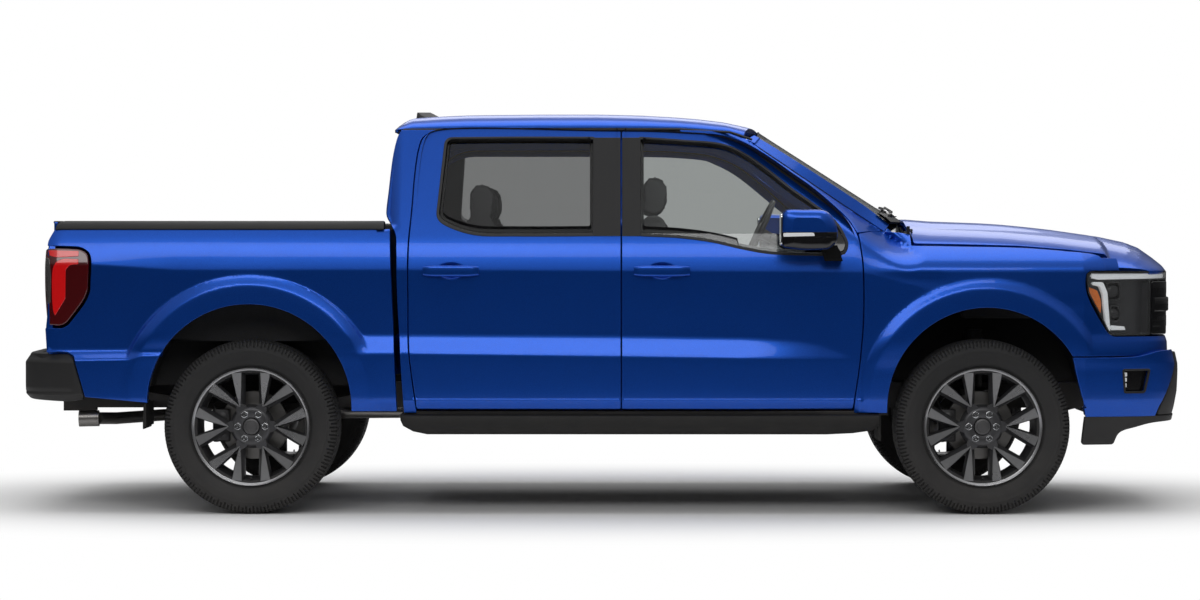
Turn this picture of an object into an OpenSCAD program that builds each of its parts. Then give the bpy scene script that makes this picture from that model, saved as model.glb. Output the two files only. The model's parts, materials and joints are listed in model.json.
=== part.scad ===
// Crew-cab pickup truck with a short open bed, on a ladder frame.
// Frame: +X forward, +Y to the left, +Z up, millimetres. The origin is on the ground, at the middle of
// the truck's length and width. Front pieces are placed from the front axle, rear pieces from the rear axle.

/* [Overall] */
// Distance between the axles
wheelbase = 3620; // [3400:10:4400]
// Front axle to the foremost point of the bumper
front_overhang = 1070; // [1000:5:1150]
// Rear axle to the rearmost point of the bumper
rear_overhang = 1165; // [1120:5:1400]
// Width over the wheel-arch flares
flare_width = 2040; // [2020:5:2140]
// Height of the roof crown
roof_z = 2000; // [1970:5:2150]

/* [Wheels] */
// Tyre outer diameter
tyre_d = 864; // [720:2:880]
// Tyre width
tyre_w = 285; // [235:5:295]
// Rim diameter over the flanges
rim_d = 584; // [480:2:600]
// Distance between left and right tyre centres
track = 1710; // [1690:5:1730]
// Bore of a wheel, over the hub
hub_bore_d = 84; // [70:1:100]
// Distance between left and right steering axes
kingpin_span = 1510; // [1490:5:1530]
// Diameter of a steering axis pin
kingpin_d = 28; // [20:1:40]
// Brake disc diameter
disc_d = 340; // [280:5:380]
// Circle of the wheel nuts
stud_circle_d = 135; // [110:1:150]

/* [Body] */
// Lower edge of the doors
sill_z = 520; // [505:1:540]
// Lower edge of the side glass
belt_z = 1385; // [1370:1:1395]
// Upper edge of the side doors
door_top_z = 1908; // [1900:1:1912]
// Width over the doors at the shoulder
body_w = 2000; // [1990:1:2010]
// Gap between a closed panel and its neighbour
panel_gap = 6; // [5:0.5:9]
// Depth of a door below the glass, from the widest point
door_depth = 122; // [90:1:126]
// Depth of the door frame around the glass
frame_depth = 50; // [40:1:60]
// Glass thickness
glass_t = 5; // [4:0.5:8]
// Thickness of the hood with its inner panel
hood_t = 40; // [25:1:60]
// Radius of the front wheel arch
front_arch_r = 488; // [470:1:495]
// Radius of the rear wheel arch
rear_arch_r = 505; // [480:1:515]
// Height of the wheel-arch centres
arch_z = 535; // [525:1:545]

/* [Cargo bed] */
// Top of the bed side walls, under the rail caps
bed_top_z = 1411; // [1380:1:1430]
// Height of the rail caps
rail_cap_h = 38; // [20:1:40]
// Inside width of the bed
bed_inner_w = 1670; // [1600:5:1680]
// Upper face of the bed floor
bed_floor_z = 885; // [870:1:895]
// Thickness of the tailgate
tailgate_t = 60; // [45:1:64]

/* [Frame] */
// Height of a frame rail section
rail_h = 130; // [100:1:140]
// Width of a frame rail section
rail_w = 80; // [60:1:90]
// Distance between the outer faces of the rails
rail_span = 960; // [900:5:970]
// Underside of the rails
rail_z = 500; // [495:1:505]
// Inside size of the tow receiver tube
receiver_in = 50.8; // [50:0.1:64]
// Wall of the tow receiver tube
receiver_wall = 6.35; // [4:0.05:10]
// Diameter of the cross hole for the tow pin
receiver_pin_d = 16; // [12:0.5:18]

/* [Hidden] */
$fn = 72;

length = front_overhang + wheelbase + rear_overhang;
front_axle_x = length / 2 - front_overhang;
rear_axle_x = -(length / 2 - rear_overhang);
axle_z = tyre_d / 2;
rail_y = rail_span / 2;
rail_top_z = rail_z + rail_h;
kingpin_y = kingpin_span / 2;
bed_y = bed_inner_w / 2;
half_w = body_w / 2;
flare_y = flare_width / 2;
run_fit = 0.05;
seat_gap = 0.3;

// Bodyside section as [y, z], from the sill to the roof edge.
SIDE = [
    [half_w - 42, sill_z - 20], [half_w - 14, sill_z + 30], [half_w + 8, 783], [half_w - 26, 883],
    [half_w, 1200], [half_w - 12, 1290], [half_w - 30, 1350], [half_w - 48, belt_z + 3],
    [half_w - 250, 1865], [half_w - 272, door_top_z]];
door_inner_y = half_w + 3 - door_depth;
pillar_out_y = door_inner_y - panel_gap;
cab_inner_y = 800;

function shifted(pts, dy, dz = 0) = [for (p = pts) [p[0] + dy, p[1] + dz]];
function reversed(pts) = [for (i = [len(pts) - 1:-1:0]) pts[i]];
function moved(pts, dx) = [for (p = pts) [p[0] + dx, p[1]]];
// A line of points moved to its right by d, seen along the line.
function beside(pts, d) = [for (i = [0:len(pts) - 1])
    let (v = pts[min(i + 1, len(pts) - 1)] - pts[max(i - 1, 0)]) pts[i] + d * [v[1], -v[0]] / norm(v)];

// Outline [x, z] drawn from y0 to y1.
module side_slab(pts, y0, y1)
    translate([0, y1, 0]) rotate([90, 0, 0]) linear_extrude(y1 - y0) polygon(pts);
// Section [y, z] drawn from x0 to x1.
module section_slab(pts, x0, x1)
    translate([x0, 0, 0]) rotate([90, 0, 90]) linear_extrude(x1 - x0) polygon(pts);
// Block between two corners.
module block(a, b) translate(a) cube(b - a);
// Round rod from p to q.
module rod(p, q, r) {
    d = q - p;
    translate(p) rotate([0, acos(d[2] / norm(d)), atan2(d[1], d[0])]) cylinder(h = norm(d), r = r);
}
// Sixteen-sided bar through a list of points, each length run a little past its corners.
corner_run = 8;
module bent_bar(pts, r) {
    for (i = [0:len(pts) - 2]) {
        d = (pts[i + 1] - pts[i]) / norm(pts[i + 1] - pts[i]);
        p = pts[i] - (i > 0 ? corner_run : 0) * d;
        q = pts[i + 1] + (i < len(pts) - 2 ? corner_run : 0) * d;
        translate(p) rotate([0, acos(d[2]), atan2(d[1], d[0])]) linear_extrude(norm(q - p))
            polygon([for (k = [0:15]) r * [cos(22.5 * k), sin(22.5 * k)]]);
    }
}
module mirrored() mirror([0, 1, 0]) children();
module both_sides() {
    children();
    mirrored() children();
}
// Disc or hole across the truck, from y0 to y1.
module across(x, z, r, y0, y1) translate([x, y1, z]) rotate([90, 0, 0]) cylinder(h = y1 - y0, r = r);

// ---- outlines [x, z] measured from the front axle -----------------------------------------------
b_line = -1787;
gap2 = panel_gap / 2;
DOOR_FRONT_EDGE = [
    [-642, sill_z], [-635, 581], [-615, 725], [-596, 946], [-595, 1165], [-602, 1277], [-621, belt_z],
    [-658, 1452], [-722, 1520], [-830, 1615], [-939, 1693], [-1049, 1771], [-1159, 1836],
    [-1270, 1874], [-1494, 1892]];
door_head_z = door_top_z - panel_gap;
DOOR_REAR_EDGE = [
    [-2720, door_head_z], [-2775, 1872], [-2798, 1812], [-2814, 1687], [-2825, 1497], [-2837, 1331],
    [-2838, 1055], [-2836, 836], [-2818, 671], [-2803, 560], [-2800, sill_z]];
DOOR_SPACE_FRONT = beside(DOOR_FRONT_EDGE, panel_gap);
FRONT_DOOR = concat([[b_line + gap2, sill_z]], DOOR_FRONT_EDGE, [[b_line + gap2, door_head_z]]);
REAR_DOOR = concat([[b_line - gap2, door_head_z]], DOOR_REAR_EDGE, [[b_line - gap2, sill_z]]);
BOTH_DOORS = concat(
    DOOR_SPACE_FRONT, [[b_line, door_top_z]], beside(DOOR_REAR_EDGE, panel_gap),
    [[-2800, sill_z - panel_gap], [-642, sill_z - panel_gap]]);
FRONT_WINDOW = [
    [-1695, 1865], [-1494, 1851], [-1271, 1828], [-1160, 1777], [-1050, 1698], [-941, 1608],
    [-832, 1530], [-726, 1441], [-673, 1341], [-686, 1300], [-730, 1288], [-839, 1289],
    [-1059, 1297], [-1191, 1320], [-1334, 1353], [-1499, 1375], [-1696, belt_z]];
REAR_WINDOW = [
    [-2662, 1851], [-2629, 1865], [-1924, 1865], [-1922, belt_z], [-2518, 1391], [-2652, 1435],
    [-2688, 1463]];
CAB_REAR = [
    [-2860, sill_z - 20], [-2893, 1055], [-2899, 1300], [-2906, 1390], [-2955, 1462], [-2960, 1485],
    [-2949, 1605], [-2930, 1786], [-2908, 1878], [-2890, door_top_z]];
CAB_SIDE = concat(CAB_REAR, [
    [-1494, door_top_z], [-1240, 1892], [-1110, 1846], [-1055, 1862], [-937, 1754], [-825, 1671], [-714, 1571],
    [-602, 1476], [-525, 1414], [-560, 1396], [-640, 1392], [-640, sill_z - 20]]);
hood_rear_x = -340;
// Hood slices: [x, half width, crown z], and the shut line along its lower edge.
HOOD = [
    [hood_rear_x, 872, 1455], [-100, 885, 1438], [180, 893, 1424], [420, 893, 1402], [650, 880, 1374],
    [800, 835, 1346], [900, 745, 1304], [962, 640, 1256], [984, 560, 1222]];
hood_front_z = 1212;
HOOD_EDGE = [[hood_rear_x, 1334], [-100, 1330], [180, 1324], [420, 1306], [618, 1283], [645, hood_front_z]];
FENDER_TOP = concat([[-591, 1388], [-533, 1402], [-386, 1390], [hood_rear_x - panel_gap, 1384]],
    [for (p = HOOD_EDGE) [p[0] + (p[0] > 600 ? -panel_gap : p[0] < -300 ? -panel_gap : 0), p[1] - panel_gap]],
    [[530, 1206]]);
lamp_low_z = 878;
LAMP = [
    [530, 1200], [515, 1190], [518, 1096], [658, 898], [686, lamp_low_z], [1030, lamp_low_z], [1030, 1200]];

// Half width of the nose at each y share, as an x set-back from the foremost point.
function nose_back(y) = let (t = abs(y) / 1003) 110 * pow(t, 2) + 460 * pow(t, 14);
function nose_line(x0, w, n) =
    [for (i = [0:n]) let (y = w - 2 * w * i / n) [x0 - nose_back(y), y]];
// Everything behind the nose curve whose foremost point is x0, from height z0 to z1.
module nose_block(x0, z0, z1, x_back = -300, w = 1003)
    translate([0, 0, z0]) linear_extrude(z1 - z0)
        polygon(concat(nose_line(x0, w, 40), [[x_back, -w], [x_back, w]]));
module nose_shell(x0, t, z0, z1, x_back) difference() {
    nose_block(x0, z0, z1, x_back);
    translate([-t, 0, 0]) nose_block(x0, z0 - 1, z1 + 1, x_back - 10, 1003 - t * 0.45);
}

// ---- shared section bodies ----------------------------------------------------------------------
// Full bodyside wall between the outer skin and the plane y = inner.
module side_wall(x0, x1, inner) section_slab(
    concat(SIDE, [[inner, door_top_z], [inner, SIDE[0][1]]]), x0, x1);
// Skin layer of a door and the layer behind it.
skin_t = 12;
module door_skin(x0, x1) section_slab(concat(SIDE, reversed(shifted(SIDE, -skin_t))), x0, x1);
module door_core(x0, x1) section_slab(concat(
    shifted(SIDE, -skin_t),
    [[half_w - 272 - frame_depth, door_top_z], [half_w - 250 - frame_depth, 1865],
     [half_w - 48 - frame_depth, belt_z - 40], [door_inner_y, belt_z - 75], [door_inner_y, SIDE[0][1]]]), x0, x1);

module handle(x) {
    translate([x, half_w - 12, 1205]) rotate([0, 90, 0]) cylinder(h = 270, r = 20, center = true);
    block([x - 125, half_w - 30, 1190], [x - 95, half_w - 2, 1220]);
    block([x + 95, half_w - 30, 1190], [x + 125, half_w - 2, 1220]);
}

module door(outline, core_outline, window, handle_x) translate([front_axle_x, 0, 0]) {
    difference() {
        union() {
            intersection() {
                side_slab(outline, 600, 1100);
                door_skin(-3000, -500);
            }
            intersection() {
                side_slab(core_outline, 600, 1100);
                door_core(-3000, -500);
            }
        }
        side_slab(window, 500, 1200);
        block([handle_x - 100, half_w - 26, 1165], [handle_x + 100, half_w + 50, 1245]);
    }
    intersection() {
        translate([0, 22, 0]) handle(handle_x);
        section_slab([[half_w - 26, 1100], [half_w + 30, 1100], [half_w + 30, 1300], [half_w - 26, 1300]],
            handle_x - 140, handle_x + 140);
    }
}
core_inset = 20;
FRONT_CORE = concat([[b_line + gap2 + core_inset, sill_z]],
    DOOR_FRONT_EDGE, [[b_line + gap2 + core_inset, door_head_z]]);
REAR_CORE = concat([[b_line - gap2, door_head_z]], moved(DOOR_REAR_EDGE, core_inset), [[b_line - gap2, sill_z]]);
module door_front() door(FRONT_DOOR, FRONT_CORE, FRONT_WINDOW, -1587);
module door_rear() door(REAR_DOOR, REAR_CORE, REAR_WINDOW, -2628);

glass_in = 22;
module side_glass(window) translate([front_axle_x, 0, 0]) intersection() {
    side_slab(window, 500, 1200);
    section_slab([
        [half_w - 20 - glass_in, 1280], [half_w - 48 - glass_in, belt_z + 3], [half_w - 250 - glass_in, 1865],
        [half_w - 250 - glass_in - glass_t, 1865], [half_w - 48 - glass_in - glass_t, belt_z + 3],
        [half_w - 20 - glass_in - glass_t, 1280]], -3000, -500);
}

// ---- cab ----------------------------------------------------------------------------------------
shield_r = 2500;
shield_len = 850;
shield_tilt = 57.4;
shield_foot = [1503 - 1857, 1463];
// Arc band across the truck, drawn along the slope of the windshield.
module shield_band(r_out, r_in, low_w, top_w, low_more = 0, top_more = 0)
    translate([shield_foot[0], 0, shield_foot[1]]) rotate([0, -shield_tilt, 0])
        intersection() {
            translate([-shield_r, 0, -low_more]) difference() {
                cylinder(h = shield_len + low_more + top_more, r = r_out, $fn = 360);
                translate([0, 0, -1]) cylinder(h = shield_len + low_more + top_more + 2, r = r_in, $fn = 360);
            }
            rotate([90, 0, 90]) translate([0, 0, -500]) linear_extrude(1000) let (
                    taper = (low_w - top_w) / shield_len, low = low_w + taper * low_more, top = top_w - taper * top_more)
                polygon([[-low, -low_more], [low, -low_more], [top, shield_len + top_more], [-top, shield_len + top_more]]);
        }
module shield_space() shield_band(shield_r + 400, shield_r - glass_t - 0.3, 790, 705, 40, 2);
REAR_WALL = [
    [-2850, 640], [-2893, 1055], [-2899, 1300], [-2906, 1390], [-2955, 1462], [-2960, 1485],
    [-2949, 1605], [-2930, 1786], [-2908, 1878], [-2890, door_top_z],
    [-2830, door_top_z], [-2850, 1860], [-2890, 1605], [-2900, 1480], [-2845, 1380], [-2800, 665], [-2800, 640]];
wall_x = -510;
module cab_sides() color("royalblue") both_sides() translate([front_axle_x, 0, 0]) {
    difference() {
        union() {
            intersection() {
                side_slab(CAB_SIDE, 500, 1100);
                section_slab(concat(SIDE, [
                    [half_w - 372, door_top_z], [half_w - 350, 1865], [half_w - 148, belt_z],
                    [cab_inner_y, belt_z - 60], [cab_inner_y, SIDE[0][1]]]), -3000, -500);
            }
            block([-680, cab_inner_y, 500], [-518, 850, 1385]);
        }
        // Door rebate, then the openings through the side.
        side_slab(BOTH_DOORS, pillar_out_y, 1100);
        intersection() {
            side_slab(BOTH_DOORS, 500, 1100);
            section_slab(concat(
                [[half_w + 100, sill_z - 60], [half_w + 100, door_top_z + 1],
                 [half_w - 272 - frame_depth - panel_gap, door_top_z + 1],
                 [half_w - 250 - frame_depth - panel_gap, 1865],
                 [half_w - 48 - frame_depth - panel_gap, belt_z - 40],
                 [pillar_out_y, belt_z - 75], [pillar_out_y, sill_z - 60]]), -3000, -500);
        }
        side_slab([[-1730, 640], [-740, 640], [-690, 900], [-690, 1340], [-760, 1420], [-900, 1560],
            [-1150, 1770], [-1300, 1830], [-1730, 1850]], 400, 1100);
        side_slab([[-2690, 720], [-1850, 720], [-1850, 1850], [-2640, 1850], [-2740, 1780], [-2770, 1400],
            [-2770, 1000]], 400, 1100);
        shield_space();
    }
    // Hinge plates and latch strikers, which the closed doors lie against.
    for (x = [-720, b_line - 60], z = [740, 1180])
        block([x, pillar_out_y - 1, z], [x + 45, door_inner_y - seat_gap, z + 60]);
    for (x = [b_line + 28, -2805]) block([x, pillar_out_y - 1, 1000], [x + 28, door_inner_y - seat_gap, 1040]);
}
cab_floor_z = 640;
// Floor, bulkhead and cowl in one fold, between the cab sides.
module cab_floor() color("royalblue") translate([front_axle_x, 0, 0]) difference() {
    side_slab([[-2800, cab_floor_z], [wall_x, cab_floor_z], [wall_x, 1330], [hood_rear_x - panel_gap, 1330],
        [hood_rear_x - panel_gap, 1425], [hood_rear_x - 22, 1425], [hood_rear_x - 22, 1350],
        [wall_x - 20, 1350], [wall_x - 20, cab_floor_z + 25], [-2800, cab_floor_z + 25]], -cab_inner_y, cab_inner_y);
    shield_space();
}
module cab_back() color("royalblue") translate([front_axle_x, 0, 0]) difference() {
    intersection() {
        side_slab(REAR_WALL, -900, 900);
        section_slab([[-cab_inner_y, cab_floor_z], [-cab_inner_y, belt_z - 60], [-half_w + 148, belt_z],
            [-half_w + 350, 1865], [-half_w + 372, door_top_z], [half_w - 372, door_top_z],
            [half_w - 350, 1865], [half_w - 148, belt_z], [cab_inner_y, belt_z - 60],
            [cab_inner_y, cab_floor_z]], -3000, -2700);
    }
    side_slab([[-3000, 1500], [-2800, 1500], [-2800, 1820], [-3000, 1820]], -600, 600);
}

// Roof slices: [x, half width, crown z, lower edge z].
ROOF = [
    [-2930, 640, 1930, 1908], [-2880, 690, 1972, 1908], [-2700, 716, 1988, 1908], [-1900, 726, 1999, 1908],
    [-1600, 724, 1998, 1908], [-1350, 716, 1978, 1890], [-1200, 706, 1950, 1865], [-1070, 700, 1920, 1840]];
module roof_slice(s, drop) {
    w = s[1] - drop;
    z0 = s[3] - (drop > 0 ? 20 : 0);
    z1 = (s[2] - 2000 + roof_z) - drop;
    section_slab(concat([[-w, z0], [w, z0]],
        [for (i = [0:12]) let (t = 1 - i / 6) [w * t, z1 - min(z1 - z0, 70) * pow(abs(t), 3)]]),
        s[0], s[0] + 1);
}
module roof() color("royalblue") translate([front_axle_x, 0, 0]) {
    difference() {
        hull() for (s = ROOF) roof_slice(s, 0);
        hull() for (s = ROOF) translate([s[0] < -2000 ? 30 : -30, 0, 0]) roof_slice(s, 26);
        side_slab([[-3000, 1700], [-3000, door_top_z], [-1494, door_top_z], [-1240, 1892], [-1110, 1846], [-1110, 1700]],
            -800, 800);
        shield_space();
    }
    // Aerial fin at the rear of the roof.
    intersection() {
        side_slab([[-2700, 1975], [-2716, 1988], [-2770, 2025], [-2778, 2030], [-2862, 2028], [-2850, 1975]], -30, 30);
        translate([-2780, 0, 1965]) cylinder(h = 80, r1 = 95, r2 = 84);
    }
}

module cab_glass() color("slategray", 0.4) translate([front_axle_x, 0, 0]) {
    shield_band(shield_r, shield_r - glass_t, 789.7, 704.7);
    intersection() {
        side_slab([[-2956, 1500], [-2940, 1700], [-2918, 1820], [-2918 + glass_t, 1820], [-2940 + glass_t, 1700],
            [-2956 + glass_t, 1500]], -600, 600);
        block([-3000, -600, 1500], [-2800, 600, 1820]);
    }
}

// ---- front body ---------------------------------------------------------------------------------
nose_x = front_overhang;
module flare(r, x, lift) translate([x, 0, arch_z]) rotate([-90, 0, 0]) rotate_extrude(angle = 360)
    polygon([[r, half_w - 60], [r, flare_y - 2], [r + 12, flare_y], [r + 90, half_w + lift],
        [r + 128, half_w - 20], [r + 128, half_w - 60]]);
FENDER_REAR = concat([[-636, sill_z - 20]], [for (p = DOOR_SPACE_FRONT) if (p[1] > sill_z + 9 && p[1] < belt_z - 9) p]);
FENDER = concat(FENDER_REAR, FENDER_TOP, [[509, 1194], [512, 1094], [652, 895], [686, lamp_low_z], [1000, lamp_low_z], [1000, 783], [430, 783],
        [300, sill_z - 20]]);
module fenders() color("royalblue") both_sides() translate([front_axle_x, 0, 0]) difference() {
    intersection() {
        union() {
            intersection() {
                side_slab(FENDER, 850, 1100);
                side_wall(-700, 1100, 850);
            }
            intersection() {
                side_slab([[430, 783], [1000, 783], [1000, lamp_low_z], [686, lamp_low_z], [652, 895], [512, 1094]],
                    grille_half, 1000);
                nose_shell(nose_x - 55, 60, 783, 1100, -100);
            }
            intersection() {
                flare(front_arch_r, 15, 6);
                side_slab(concat(FENDER_REAR, [[0, 1300], [509, 1194], [512, 1094], [620, 920], [620, 783], [430, 783],
                    [430, sill_z - 20]]), 500, 1100);
            }
        }
        nose_block(nose_x - 30, 0, 1500, -800, 1100);
    }
    across(15, arch_z, front_arch_r, 500, 1200);
}

module hood_slice(s, inset) {
    w = s[1] - inset;
    z1 = s[2] - inset;
    z0 = hood_front_z - 6 - inset;
    section_slab(concat([[-w, z0], [w, z0]], [for (i = [0:12]) let (t = 1 - i / 6)
        [w * t, z1 - min(z1 - z0, 12 * pow(t, 2) + 50 * pow(t, 12))]]), s[0], s[0] + 1);
}
module hood() color("royalblue") translate([front_axle_x, 0, 0]) {
    // Hinge straps that lie against the cowl when the hood is shut.
    both_sides() block([hood_rear_x - panel_gap + seat_gap, 680, 1345], [hood_rear_x + 4, 740, 1405]);
    difference() {
    hull() for (s = HOOD) hood_slice(s, 0);
    hull() for (s = HOOD) translate([s[0] < 0 ? 30 : -30, 0, 0]) hood_slice(s, hood_t);
    side_slab(concat([[-500, 1000], [-500, 1334]], HOOD_EDGE, [[1100, hood_front_z], [1100, 1000]]), -950, 950);
    }
}

module headlamps() color("lightsteelblue") both_sides() translate([front_axle_x, 0, 0]) intersection() {
    side_slab(LAMP, 606, 1100);
    nose_shell(nose_x - 62, 110, 800, 1300, -100);
    side_wall(-100, 1100, 600);
}
grille_half = 600;
module grille() color("dimgray") translate([front_axle_x, 0, 0]) difference() {
    intersection() {
        nose_shell(nose_x - 66, 60, lamp_low_z, 1206, -100);
        block([500, -grille_half, 800], [1100, grille_half, 1206]);
    }
    for (z = [920:56:1150]) block([500, -grille_half + 50, z], [1100, grille_half - 50, z + 34]);
}
module front_bumper() color("royalblue") translate([front_axle_x, 0, 0]) difference() {
    union() {
        intersection() {
            nose_shell(nose_x, 70, 478, 777, -100);
            side_slab([[430, 777], [470, 640], [517, 478], [1100, 478], [1100, 777]], -1100, 1100);
        }
        intersection() {
            nose_shell(nose_x - 55, 60, 777, lamp_low_z, -100);
            block([500, -grille_half, 777], [1100, grille_half, lamp_low_z]);
        }
    }
    both_sides() side_slab([[700, 718], [838, 718], [815, 596], [705, 596]], 800, 1100);
    block([900, -480, 520], [1100, 480, 700]);
}
module front_valance() color("dimgray") translate([front_axle_x, 0, 0]) {
    intersection() {
        nose_shell(nose_x - 25, 90, 330, 477.7, -100);
        side_slab([[517, 477.7], [517, 416], [560, 330], [740, 352], [900, 400], [1100, 440],
            [1100, 477.7]], -1100, 1100);
    }
    // Plate under the nose that joins the valance to the frame ends.
    block([700, -520, 440], [930, 520, 460]);
    block([700, -rail_y, 460], [760, -rail_y + rail_w, rail_z]);
    block([700, rail_y - rail_w, 460], [760, rail_y, rail_z]);
}

// ---- rear body, measured from the rear axle -----------------------------------------------------
bed_front = front_axle_x - rear_axle_x - 2935;
bed_rear = -1012;
BED_SIDE = [
    [bed_front + 40, 505], [bed_front, bed_top_z], [-972, bed_top_z], [-1003, 1346], [-1020, 1110],
    [-1012, 802], [-905, 802], [-872, 783], [-817, 580], [-507, 548], [bed_front - 180, 508]];
TAIL_LAMP = [
    [-1040, 1318], [-828, 1313], [-798, 1287], [-798, 1109], [-818, 1060], [-907, 941], [-937, 927],
    [-1040, 937]];
lamp_inner_y = 842;
module lamp_shape(grow) side_slab(
    [for (p = TAIL_LAMP) [p[0] + (p[0] > -900 ? grow : p[0] < -1000 ? -grow : 0),
        p[1] + (p[1] > 1200 ? grow : p[1] < 1000 ? -grow : 0)]], lamp_inner_y, 1100);
module bedsides() color("royalblue") both_sides() translate([rear_axle_x, 0, 0]) difference() {
    union() {
        intersection() {
            side_slab(BED_SIDE, bed_y, 1100);
            section_slab(concat([for (p = SIDE) if (p[1] < bed_top_z) p],
                [[half_w - 58, bed_top_z], [bed_y, bed_top_z], [bed_y, SIDE[0][1]]]), -1200, bed_front + 50);
        }
        intersection() {
            flare(rear_arch_r, -6, 6);
            side_slab([[bed_front + 25, 520], [bed_front + 10, 1250], [-760, 1250], [-760, 600], [-600, 556], [-507, 548]],
                bed_y, 1100);
        }
    }
    across(-6, arch_z, rear_arch_r, 500, 1200);
    lamp_shape(0.3);
}
module bed_rail_caps() color("dimgray") both_sides() translate([rear_axle_x, 0, 0])
    intersection() {
        side_slab([[bed_front - 28, bed_top_z], [bed_front - 28, bed_top_z + rail_cap_h],
            [-935, bed_top_z + rail_cap_h], [-972, bed_top_z]], bed_y, half_w - 50);
        section_slab([[bed_y, bed_top_z], [bed_y, bed_top_z + rail_cap_h - 6], [bed_y + 12, bed_top_z + rail_cap_h],
            [half_w - 80, bed_top_z + rail_cap_h], [half_w - 50, bed_top_z + 12], [half_w - 50, bed_top_z]],
            -1200, bed_front);
    }
floor_t = 35;
house_in_y = 640;
head_x = bed_front - 55;
floor_rear = -950;
hinge_x = -972;
hinge_z = bed_floor_z - 17;
house_r = rear_arch_r + 15;
house_wall = 25;
module bed_box() color("steelblue") translate([rear_axle_x, 0, 0]) {
    difference() {
        union() {
            block([floor_rear, -bed_y, bed_floor_z - floor_t], [head_x, bed_y, bed_floor_z]);
            block([head_x - 35, -bed_y, bed_floor_z - floor_t], [head_x, bed_y, bed_top_z]);
            for (x = [head_x - 180, -700]) both_sides()
                block([x, rail_y - rail_w, rail_top_z], [x + 80, rail_y, bed_floor_z]);
            both_sides() intersection() {
                across(-6, arch_z, house_r + house_wall, house_in_y, bed_y);
                block([-700, house_in_y, bed_floor_z - 260], [700, bed_y, 1200]);
            }
            block([floor_rear, -bed_y, bed_floor_z - 80], [floor_rear + 60, bed_y, bed_floor_z - floor_t]);
        }
        both_sides() across(-6, arch_z, house_r, house_in_y + house_wall, bed_y + 1);
    }
}
gate_half = bed_y - 6;
module tailgate() color("royalblue") translate([rear_axle_x, 0, 0]) {
    difference() {
        side_slab([[hinge_x + 15, hinge_z + 5], [hinge_x + 15, bed_top_z + rail_cap_h],
            [hinge_x - 12, bed_top_z + rail_cap_h], [hinge_x - 30, 1400], [hinge_x - tailgate_t + 15, 1290],
            [hinge_x - tailgate_t + 15, 1000], [hinge_x - tailgate_t + 22, hinge_z + 5]], -gate_half, gate_half);
        block([hinge_x - tailgate_t, -110, 1240], [hinge_x - tailgate_t + 38, 110, 1310]);
    }
    // Hinge ears at the lower corners.
    both_sides() across(hinge_x, hinge_z, 14, gate_half - 12, bed_y - seat_gap);
}
module taillamps() color("firebrick") both_sides() translate([rear_axle_x, 0, 0]) intersection() {
    lamp_shape(0);
    section_slab(concat([for (p = SIDE) if (p[1] < bed_top_z) p],
        [[half_w - 58, bed_top_z], [bed_y, bed_top_z], [bed_y, SIDE[0][1]]]), -1200, 0);
    translate([-400, 0, 900]) linear_extrude(500) polygon([
        [0, 800], [-625, 800], [-625, 900], [-600, 960], [-540, 1010], [0, 1010]]);
}
function tail_back(y) = let (t = abs(y) / 990) 30 * pow(t, 3) + 260 * pow(t, 22);
module tail_block(t) translate([0, 0, 500]) linear_extrude(400) polygon(concat(
    [for (i = [0:40]) let (y = (990 - t) * (1 - i / 20)) [-rear_overhang + t + tail_back(y * 990 / (990 - t)), y]],
    [[-700, -990 + t], [-700, 990 - t]]));
module rear_bumper() color("dimgray") translate([rear_axle_x, 0, 0]) {
    // Brackets on the ends of the frame rails.
    both_sides() block([-1075, rail_y - rail_w + 5, 570], [frame_rear - rear_axle_x, rail_y - 25, 620]);
    difference() {
    intersection() {
        tail_block(0);
        side_slab([[-909, 800], [-877, 781], [-822, 576], [-824, 556], [-842, 540], [-1037, 560], [-1100, 620], [-1200, 680], [-1200, 800]],
            -1000, 1000);
    }
    difference() {
        tail_block(110);
        block([-1300, -rail_y + 20, 500], [-700, rail_y - 20, 900]);
    }
    block([-1070, -rail_y + 20, 500], [-700, rail_y - 20, 900]);
    block([-1300, -260, 762], [-1060, 260, 900]);
    }
}

// ---- steps, liners and flaps --------------------------------------------------------------------
module running_boards() color("dimgray") both_sides() translate([front_axle_x, 0, 0]) intersection() {
    section_slab([[800, 500], [960, 500], [985, 488], [990, 440], [975, 404], [950, 394], [880, 394], [862, 412],
        [840, 440], [800, 470]], -2880, -513);
    side_slab([[-2880, 500], [-2880, 412], [-2750, 394], [-760, 394], [-513, 418], [-513, 500]], 700, 1000);
}
liner_t = 6;
module wheel_liners($fn = 240) color("dimgray") both_sides() {
    translate([front_axle_x, 0, 0]) {
        difference() {
            intersection() {
                across(15, arch_z, front_arch_r + 30 + liner_t, 494, 850);
                side_slab([[-600, 650], [-520, 1200], [550, 1200], [550, 650]], 494, 850);
            }
            across(15, arch_z, front_arch_r + 30, 494 + liner_t, 851);
            block([-700, 493, 400], [wall_x + 0.3, 851, 1400]);
        }
        block([-513, 742, 363], [-503, 950, 500]);
    }
    translate([rear_axle_x, 0, 0]) block([-530, 725, 432], [-518, 975, 548.4]);
}

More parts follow.
